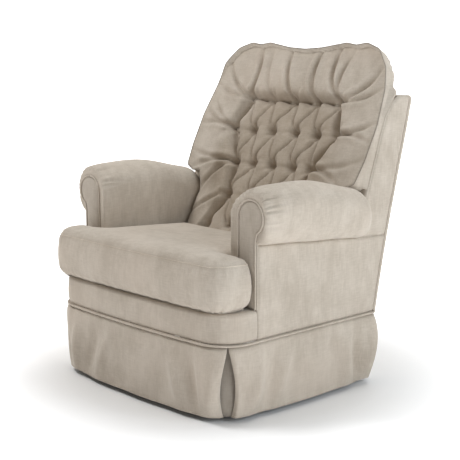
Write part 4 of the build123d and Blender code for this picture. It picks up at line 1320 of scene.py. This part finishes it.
# Soft folds of a skirt panel: place along it, lean of the fold, depth and width in millimetres
SKIRT_FOLDS = ((0.05, -0.03, -6, 24), (0.11, 0.05, 7, 22), (0.2, 0.1, -5, 20), (0.27, 0.12, 4, 18),
               (0.42, 0.03, -3, 45), (0.55, -0.04, 4, 50), (0.7, -0.02, -3, 30), (0.8, -0.06, 6, 24),
               (0.88, -0.04, -7, 20), (0.95, 0.03, 6, 18))


def fading(distance, reach):
    """One at nothing, and next to nothing beyond the reach."""
    return np.exp(-((distance / (reach * MM)) ** 2))


def skirt_panel(name, path, normals, replaces):
    """A flat cloth panel with soft folds that grow towards the hem and turned ends at its pleats."""
    run = np.concatenate([[0], np.cumsum(np.linalg.norm(np.diff(path, axis=0), axis=1))])
    total = run[-1]
    left = total - run
    near_start, near_end = fading(run, 85), fading(left, 85)
    near = np.maximum(near_start, near_end)
    near_wide = fading(run, 120) + fading(left, 120)
    turned = fading(run, 6) + fading(left, 5)
    tangent = np.gradient(path, axis=0)
    tangent /= np.linalg.norm(tangent, axis=1)[:, None]
    rows = []
    for t in np.linspace(0, 1, 26):
        grow = t**1.4
        wave = np.zeros(len(run))
        for pitch, deep, phase in SKIRT_WAVES:
            wave += deep * MM * np.sin(run * 2 * math.pi / pitch + phase + 0.5 * t)
        wave *= grow * (0.30 + 0.9 * near)
        wave += 1.0 * MM * np.sin(run * 2 * math.pi / 0.05 + 1.0) * (1 - t) * np.exp(-t * 5)
        envelope = 3.0 * math.sin(math.pi * 0.97 * t) * t**0.4
        for place, lean, deep, wide in SKIRT_FOLDS:
            middle = (place + lean * (1 - t)) * total
            wave += deep * MM * fading(run - middle, wide * (1.3 - 0.3 * t)) * envelope
        flare = 2.0 * MM + 4.0 * MM * grow
        bulge = 12 * MM * math.sin(math.pi * t**0.65) * near_wide
        tuck = 11 * MM * t**4 * near_wide
        off = flare + wave + bulge - tuck - turned * (2.0 + 15.0 * t) * MM
        off = np.maximum(off, -12.0 * MM) - 3.0 * MM * math.exp(-t * 40)
        spread = 19 * MM * math.sin(math.pi * 0.8 * t) ** 1.2
        ring = path + normals * off[:, None] + tangent * ((near_start - near_end) * spread)[:, None]
        rows.append(at_height(ring, SKIRT_TOP - t * SKIRT_DROP))
    outer = np.array(rows)
    inner = outer.copy()
    inner[:, :, :2] -= normals * 2.2 * MM
    verts, faces = closed_strip(outer, inner)
    obj = sewn(name, verts, faces, replaces)
    hem = outer[-1] + at_height(-normals * 0.6 * MM, 1.6 * MM)
    return tube(respace(hem, 5 * MM, closed=False), 1.9 * MM, 8)


# The skirt's corners: centre of the turn, +1 at the front and -1 at the back, and how far round
# the corner, from the front or the back, its pleat opens
SKIRT_CORNERS = {
    "front": (np.array([BODY_HALF - FRONT_R, APRON_Y + FRONT_R]), 1, math.radians(52)),
    "back": (np.array([BODY_HALF - BACK_R, BACK_Y - BACK_R]), -1, math.radians(45)),
}
PLEAT_GAP = 1.2 * MM
PLEAT_REACH = 58 * MM  # how far behind the panels a pleat's back reaches from its opening


def from_pleat(points, end, side):
    """Signed distance from a corner's pleat line; positive towards the side panels."""
    centre, sign, turn = SKIRT_CORNERS[end]
    local = points - centre * np.array([side, 1.0])
    return side * local[:, 0] * math.cos(turn) + sign * local[:, 1] * math.sin(turn)


def end_test(end):
    """A test for the points of the front or the back panel."""
    centre, sign, _ = SKIRT_CORNERS[end]

    def test(p):
        beyond = sign * (p[:, 1] - centre[1]) < 0
        return beyond & (from_pleat(p, end, 1) < -PLEAT_GAP) & (from_pleat(p, end, -1) < -PLEAT_GAP)

    return test


def side_test(side):
    """A test for the points of a side panel."""

    def test(p):
        beside = side * p[:, 0] > 0.2
        for end in SKIRT_CORNERS:
            beside = beside & (from_pleat(p, end, side) > PLEAT_GAP)
        return beside

    return test


def pleat_test(end, side):
    """A test for the points behind a corner's pleat."""
    centre, sign, _ = SKIRT_CORNERS[end]

    def test(p):
        close = np.abs(from_pleat(p, end, side)) < PLEAT_REACH
        return close & (side * p[:, 0] > centre[0] - 1 * MM) & (sign * (centre[1] - p[:, 1]) > -1 * MM)

    return test


def build_skirt():
    """Four panels, the rolls of their hems, and the backs of the corner pleats."""
    tests = {end: end_test(end) for end in SKIRT_CORNERS}
    tests.update({name: side_test(side) for side, name in SIDES})
    hems = []
    for name, test in tests.items():
        path, normals = plan_stretch(test)
        hems.append(skirt_panel(f"skirt_panel_{name}", path, normals, [f"skirt_{name}"]))
    verts, faces = joined(hems)
    sewn("skirt_hem_rolls", verts, faces)
    parts, wide = [], 0.0
    for end in SKIRT_CORNERS:
        for side, _ in SIDES:
            path, normals = plan_stretch(pleat_test(end, side), 2.0 * MM, 2 * MM)
            rows = []
            for t in np.linspace(0, 1, 14):
                hidden = path - normals * 15 * MM * t**0.5
                rows.append(at_height(hidden, SKIRT_TOP - t * (SKIRT_DROP - 1 * MM)))
            outer = np.array(rows)
            inner = outer.copy()
            inner[:, :, :2] -= normals * 2.0 * MM
            parts.append(closed_strip(outer, inner))
            wide += np.linalg.norm(np.diff(outer, axis=1), axis=2).sum(axis=1).mean()
    verts, faces = joined(parts)
    obj = sewn("skirt_pleat_backs", verts, faces, ["pleat_inserts"], "pleat_shade")


def build_skirt_piping():
    """The cord round the top of the skirt, and the flange that holds it."""
    outline, normals = plan_outline(0.0, 4 * MM)
    cord = tube(at_height(outline + normals * 2.8 * MM, WELT_Z), 3.1 * MM, 12, closed=True)
    flange = tube(at_height(outline - normals * 3.4 * MM, WELT_Z), 3.2 * MM, 8, closed=True)
    verts, faces = joined([cord, flange])
    sewn("skirt_piping", verts, faces, ["skirt_welt"])


# ---------------------------------------------------------------- settings, operators and panel
class ChairSettings(bpy.types.PropertyGroup):
    """What can be set on the chair."""

    back_fill: FloatProperty(
        name="Back fill", description="How tight the tufted back is stuffed", default=0.85, min=0, max=1,
        subtype="FACTOR",
    )
    button_size: FloatProperty(
        name="Button size", description="Width of a covered button", default=21 * MM, unit="LENGTH",
        subtype="DISTANCE",
    )
    cushion_crown: FloatProperty(
        name="Cushion crown", description="Rise of the seat cushion over its seam", default=31 * MM,
        unit="LENGTH", subtype="DISTANCE",
    )
    cushion_fill: FloatProperty(
        name="Cushion fill", description="How full the seat cushion is", default=0.85, min=0, max=1,
        subtype="FACTOR",
    )
    cloth_light: FloatVectorProperty(
        name="Cloth, light", description="Upholstery colour where the nap lies towards the light",
        default=(0.60, 0.535, 0.458), subtype="COLOR",
    )
    cloth_dark: FloatVectorProperty(
        name="Cloth, dark", description="Upholstery colour where the nap lies away",
        default=(0.45, 0.388, 0.318), subtype="COLOR",
    )


class StudioSettings(bpy.types.PropertyGroup):
    """What can be set in the studio."""

    key: FloatProperty(
        name="Key light", description="Power of the soft light at the side", default=54.0, unit="POWER"
    )
    top: FloatProperty(
        name="Top light", description="Power of the soft light overhead", default=48.0, unit="POWER"
    )
    fill: FloatProperty(
        name="Fill light", description="Power of the fill light", default=86.0, unit="POWER"
    )
    sky: FloatProperty(
        name="Surround", description="Strength of the light from the surround", default=0.17, subtype="FACTOR"
    )
    lens: FloatProperty(name="Lens", description="Focal length", default=85.2, unit="CAMERA")


# The same cloth in tones paler or darker than its open faces: painted highlight along the cushion's top seam,
# painted shade in the back's seam groove, inside the pleats and on the arm fronts
CLOTH_TONES = {
    "upholstery": 1.0, "seam": 1.16, "seam_painted_shade": 0.6, "pleat_shade": 0.62, "facing": 0.88, "tufted": 1.0,
}
# The tufted cloth is painted darker towards the middle of its field, painted shade in the recess: centre,
# near and far distance from it
TUFTED_PAINTED_SHADE = ((0.0, 0.5 * TUFT[1], 0.61), 0.19, 0.30)
# Every other finish: its maker, its name and what the maker is told
FINISHES = {
    "deck_cloth": (plain_cloth, "deck_cloth_felted", (0.55, 0.51, 0.45), (0.42, 0.385, 0.33), 300),
    "dust_cloth": (plain_cloth, "dust_cloth_spun", (0.035, 0.035, 0.037), (0.012, 0.012, 0.013), 420),
    "hardwood": (timber, "hardwood_sawn", (0.60, 0.41, 0.23), (0.36, 0.215, 0.11)),
    "plywood": (timber, "plywood_board", (0.66, 0.50, 0.32), (0.45, 0.31, 0.18), True),
    "black_steel": (metal, "black_painted_steel", (0.018, 0.018, 0.02), (0.07, 0.07, 0.075), 0.35, 0.45, 90),
    "bearing_steel": (metal, "bearing_steel_ground", (0.56, 0.57, 0.58), (0.72, 0.72, 0.72), 1.0, 0.28, 260),
    "zinc_bolts": (metal, "zinc_plated", (0.60, 0.62, 0.64), (0.42, 0.43, 0.45), 1.0, 0.36, 200),
    "spring_wire": (metal, "spring_wire_oiled", (0.16, 0.155, 0.15), (0.30, 0.28, 0.26), 0.9, 0.4, 300),
    "nylon_bushes": (moulded, "nylon_moulded", (0.72, 0.71, 0.67), (0.58, 0.57, 0.53), 0.5),
    "rubber": (moulded, "rubber_moulded", (0.035, 0.034, 0.033), (0.014, 0.014, 0.014), 0.75),
}


def make_material(slot, settings):
    """The material of a slot or of a tone of the cloth."""
    if slot in FINISHES:
        maker, *values = FINISHES[slot]
        return maker(*values)
    tone = CLOTH_TONES[slot]
    light = tuple(min(c * tone, 1) for c in settings.cloth_light)
    dark = tuple(min(c * tone, 1) for c in settings.cloth_dark)
    field = TUFTED_PAINTED_SHADE if slot == "tufted" else None
    return microsuede(f"{slot}_microsuede", light, dark, field=field)


class ChairOperator:
    """What the operators share."""

    bl_options = {"REGISTER", "UNDO"}

    @property
    def sizes(self):
        return bpy.context.scene.chair_settings


class CHAIR_OT_finishes(ChairOperator, bpy.types.Operator):
    """Make the finishes and give each timber, steel and fitting node its own."""

    bl_idname = "chair.finishes"
    bl_label = "Finishes"

    def execute(self, context):
        for slot in (*CLOTH_TONES, *FINISHES):
            MATERIALS[slot] = make_material(slot, self.sizes)
        for row in frame["record"]["subparts"]:
            materials = frame["nodes"][row["node"]].data.materials
            materials.clear()
            materials.append(MATERIALS[row["material_slot"]])
        return {"FINISHED"}


class CHAIR_OT_back(ChairOperator, bpy.types.Operator):
    """Sew the tufted back and its buttons."""

    bl_idname = "chair.back"
    bl_label = "Tufted back"

    def execute(self, context):
        build_pillow(self.sizes)
        build_buttons(self.sizes)
        return {"FINISHED"}


class CHAIR_OT_arms(ChairOperator, bpy.types.Operator):
    """Pad the arms, with their facings and piping."""

    bl_idname = "chair.arms"
    bl_label = "Arms"

    def execute(self, context):
        for side, name in SIDES:
            build_arm(side, name)
            build_facing(side, name)
        build_facing_welts()
        return {"FINISHED"}


class CHAIR_OT_covers(ChairOperator, bpy.types.Operator):
    """Cover the sides, the outside back, the apron and the seat deck."""

    bl_idname = "chair.covers"
    bl_label = "Outside covers"

    def execute(self, context):
        build_sides()
        build_edge_wraps()
        build_outside_back()
        build_apron()
        build_deck()
        return {"FINISHED"}


class CHAIR_OT_skirt(ChairOperator, bpy.types.Operator):
    """Hang the skirt with its corner pleats and piping."""

    bl_idname = "chair.skirt"
    bl_label = "Skirt"

    def execute(self, context):
        build_skirt_piping()
        build_skirt()
        return {"FINISHED"}


class CHAIR_OT_cushion(ChairOperator, bpy.types.Operator):
    """Fill the loose seat cushion."""

    bl_idname = "chair.cushion"
    bl_label = "Seat cushion"

    def execute(self, context):
        build_cushion(self.sizes)
        return {"FINISHED"}


class CHAIR_OT_studio(bpy.types.Operator):
    """Set up the floor, the lights and the camera."""

    bl_idname = "chair.studio"
    bl_label = "Studio"

    def execute(self, context):
        build_studio(context.scene.studio_settings)
        return {"FINISHED"}


def placed(name, data, at, aim):
    """A lamp or a camera, set at a point and turned to another."""
    obj = bpy.data.objects.new(name, data)
    bpy.context.scene.collection.objects.link(obj)
    obj.location = at
    obj.rotation_euler = (Vector(aim) - Vector(at)).to_track_quat("-Z", "Y").to_euler()
    return obj


def area_light(name, at, aim, size, power, colour=(1, 1, 1)):
    """A soft rectangular lamp."""
    data = bpy.data.lights.new(name, "AREA")
    data.shape = "RECTANGLE"
    data.size, data.size_y = size
    data.energy = power
    data.color = colour
    placed(name, data, at, aim)


FLOOR_TURN = math.radians(47.2)  # the paper is square to the camera


def paper_material():
    """White paper that glows evenly further out and takes the chair's shadow close to it, where its glow also
    fades to almost nothing: painted shade round the chair.
    """
    n = Nodes("studio_paper")
    speck = n.noise(n.stretched((1.0, 1.0, 1.0)), 40.0, 2.0, 0.5)
    rough = 0.9 + (speck - 0.5) * 0.05
    place = n.add("ShaderNodeTexCoord", output=3)
    away = n.add("ShaderNodeVectorMath", {"operation": "LENGTH"}, {0: place}, output=1)
    back = (-math.sin(FLOOR_TURN), math.cos(FLOOR_TURN), 0.0)
    behind = n.add("ShaderNodeVectorMath", {"operation": "DOT_PRODUCT"}, {0: place, 1: back}, output=1)
    # Painted shade: the glow fades to almost nothing close to the chair
    near = n.mix(away.ranged(0.42, 0.86), (0.02, 0.02, 0.02), (0.58, 0.58, 0.59))
    glow = n.mix((away + behind * 0.8).ranged(0.9, 2.8), near, (1.0, 1.0, 1.0))
    constants = {"Base Color": (0.93, 0.93, 0.93, 1.0), "Specular IOR Level": 0.1, "Emission Strength": 0.9}
    return n.surface(constants, Roughness=rough, Emission_Color=glow)


def build_floor():
    """A sheet of paper that bends up behind the chair."""
    size, bend, high = 9.0, 2.0, 7.0
    profile = [(-size, 0.0), (size - bend, 0.0), *arc((size - bend, bend), bend, -90, 0, 14), (size, high)]
    sine, cosine = math.sin(FLOOR_TURN), math.cos(FLOOR_TURN)
    across_points = 9
    verts = []
    for along, z in profile:
        for across in np.linspace(-size, size, across_points):
            verts.append((cosine * across - sine * along, cosine * along + sine * across, z))
    mesh = bpy.data.meshes.new("studio_floor")
    mesh.from_pydata(verts, [], grid_faces(len(profile), across_points))
    floor = bpy.data.objects.new("studio_floor", mesh)
    bpy.context.scene.collection.objects.link(floor)
    for poly in mesh.polygons:
        poly.use_smooth = True
    mesh.materials.append(paper_material())


def build_surround(strength):
    """A surround that lights the chair dimly and warmly, and is white to the camera."""
    world = bpy.data.worlds.new("studio_surround")
    world.use_nodes = True
    nodes, links = world.node_tree.nodes, world.node_tree.links
    lit = nodes["Background"]
    lit.inputs[0].default_value = (1.0, 0.93, 0.84, 1.0)
    lit.inputs[1].default_value = strength
    seen = nodes.new("ShaderNodeBackground")
    seen.inputs[0].default_value = (1.0, 1.0, 1.0, 1.0)
    path = nodes.new("ShaderNodeLightPath")
    either = nodes.new("ShaderNodeMixShader")
    links.new(path.outputs["Is Camera Ray"], either.inputs[0])
    links.new(lit.outputs[0], either.inputs[1])
    links.new(seen.outputs[0], either.inputs[2])
    links.new(either.outputs[0], nodes["World Output"].inputs[0])
    bpy.context.scene.world = world


def build_studio(settings):
    """The floor, the lights, the surround and the camera."""
    scene = bpy.context.scene
    build_floor()
    body = (0, 0, 0.45)
    area_light("key_light", (3.3, 0.2, 1.6), body, (2.6, 1.8), settings.key, (0.87, 0.94, 1.0))
    area_light("top_light", (0.4, 1.4, 3.6), body, (2.6, 2.2), settings.top, (0.94, 0.975, 1.0))
    area_light("fill_light", (-1.6, -1.8, 4.1), (0, 0, 0.5), (1.3, 1.3), settings.fill)
    build_surround(settings.sky)
    data = bpy.data.cameras.new("camera")
    data.sensor_width = 36.0
    data.lens = settings.lens
    scene.camera = placed("camera", data, (2.3954, -2.2084, 1.0070), (-0.0559, 0.0603, 0.4270))
    scene.view_settings.view_transform = "Standard"


class CHAIR_PT_panel(bpy.types.Panel):
    """The chair's pieces and settings."""

    bl_idname = "CHAIR_PT_panel"
    bl_label = "Chair"
    bl_space_type = "VIEW_3D"
    bl_region_type = "UI"
    bl_category = "Chair"

    def draw(self, context):
        for group in (context.scene.chair_settings, context.scene.studio_settings):
            for key in group.bl_rna.properties.keys():
                if key not in ("rna_type", "name"):
                    self.layout.prop(group, key)
        for operator in OPERATORS:
            self.layout.operator(operator.bl_idname)


OPERATORS = (
    CHAIR_OT_finishes,
    CHAIR_OT_back,
    CHAIR_OT_arms,
    CHAIR_OT_covers,
    CHAIR_OT_skirt,
    CHAIR_OT_cushion,
    CHAIR_OT_studio,
)
CLASSES = (ChairSettings, StudioSettings, *OPERATORS, CHAIR_PT_panel)


def register():
    """Add the classes and their settings."""
    for cls in CLASSES:
        bpy.utils.register_class(cls)
    bpy.types.Scene.chair_settings = PointerProperty(type=ChairSettings)
    bpy.types.Scene.studio_settings = PointerProperty(type=StudioSettings)


def unregister():
    """Take the settings and the classes away again."""
    del bpy.types.Scene.chair_settings
    del bpy.types.Scene.studio_settings
    for cls in reversed(CLASSES):
        bpy.utils.unregister_class(cls)


def main():
    """Build the chair's looks piece group by piece group."""
    register()
    for operator in OPERATORS:
        getattr(bpy.ops.chair, operator.bl_idname.split(".")[1])()


if __name__ == "__main__":
    main()
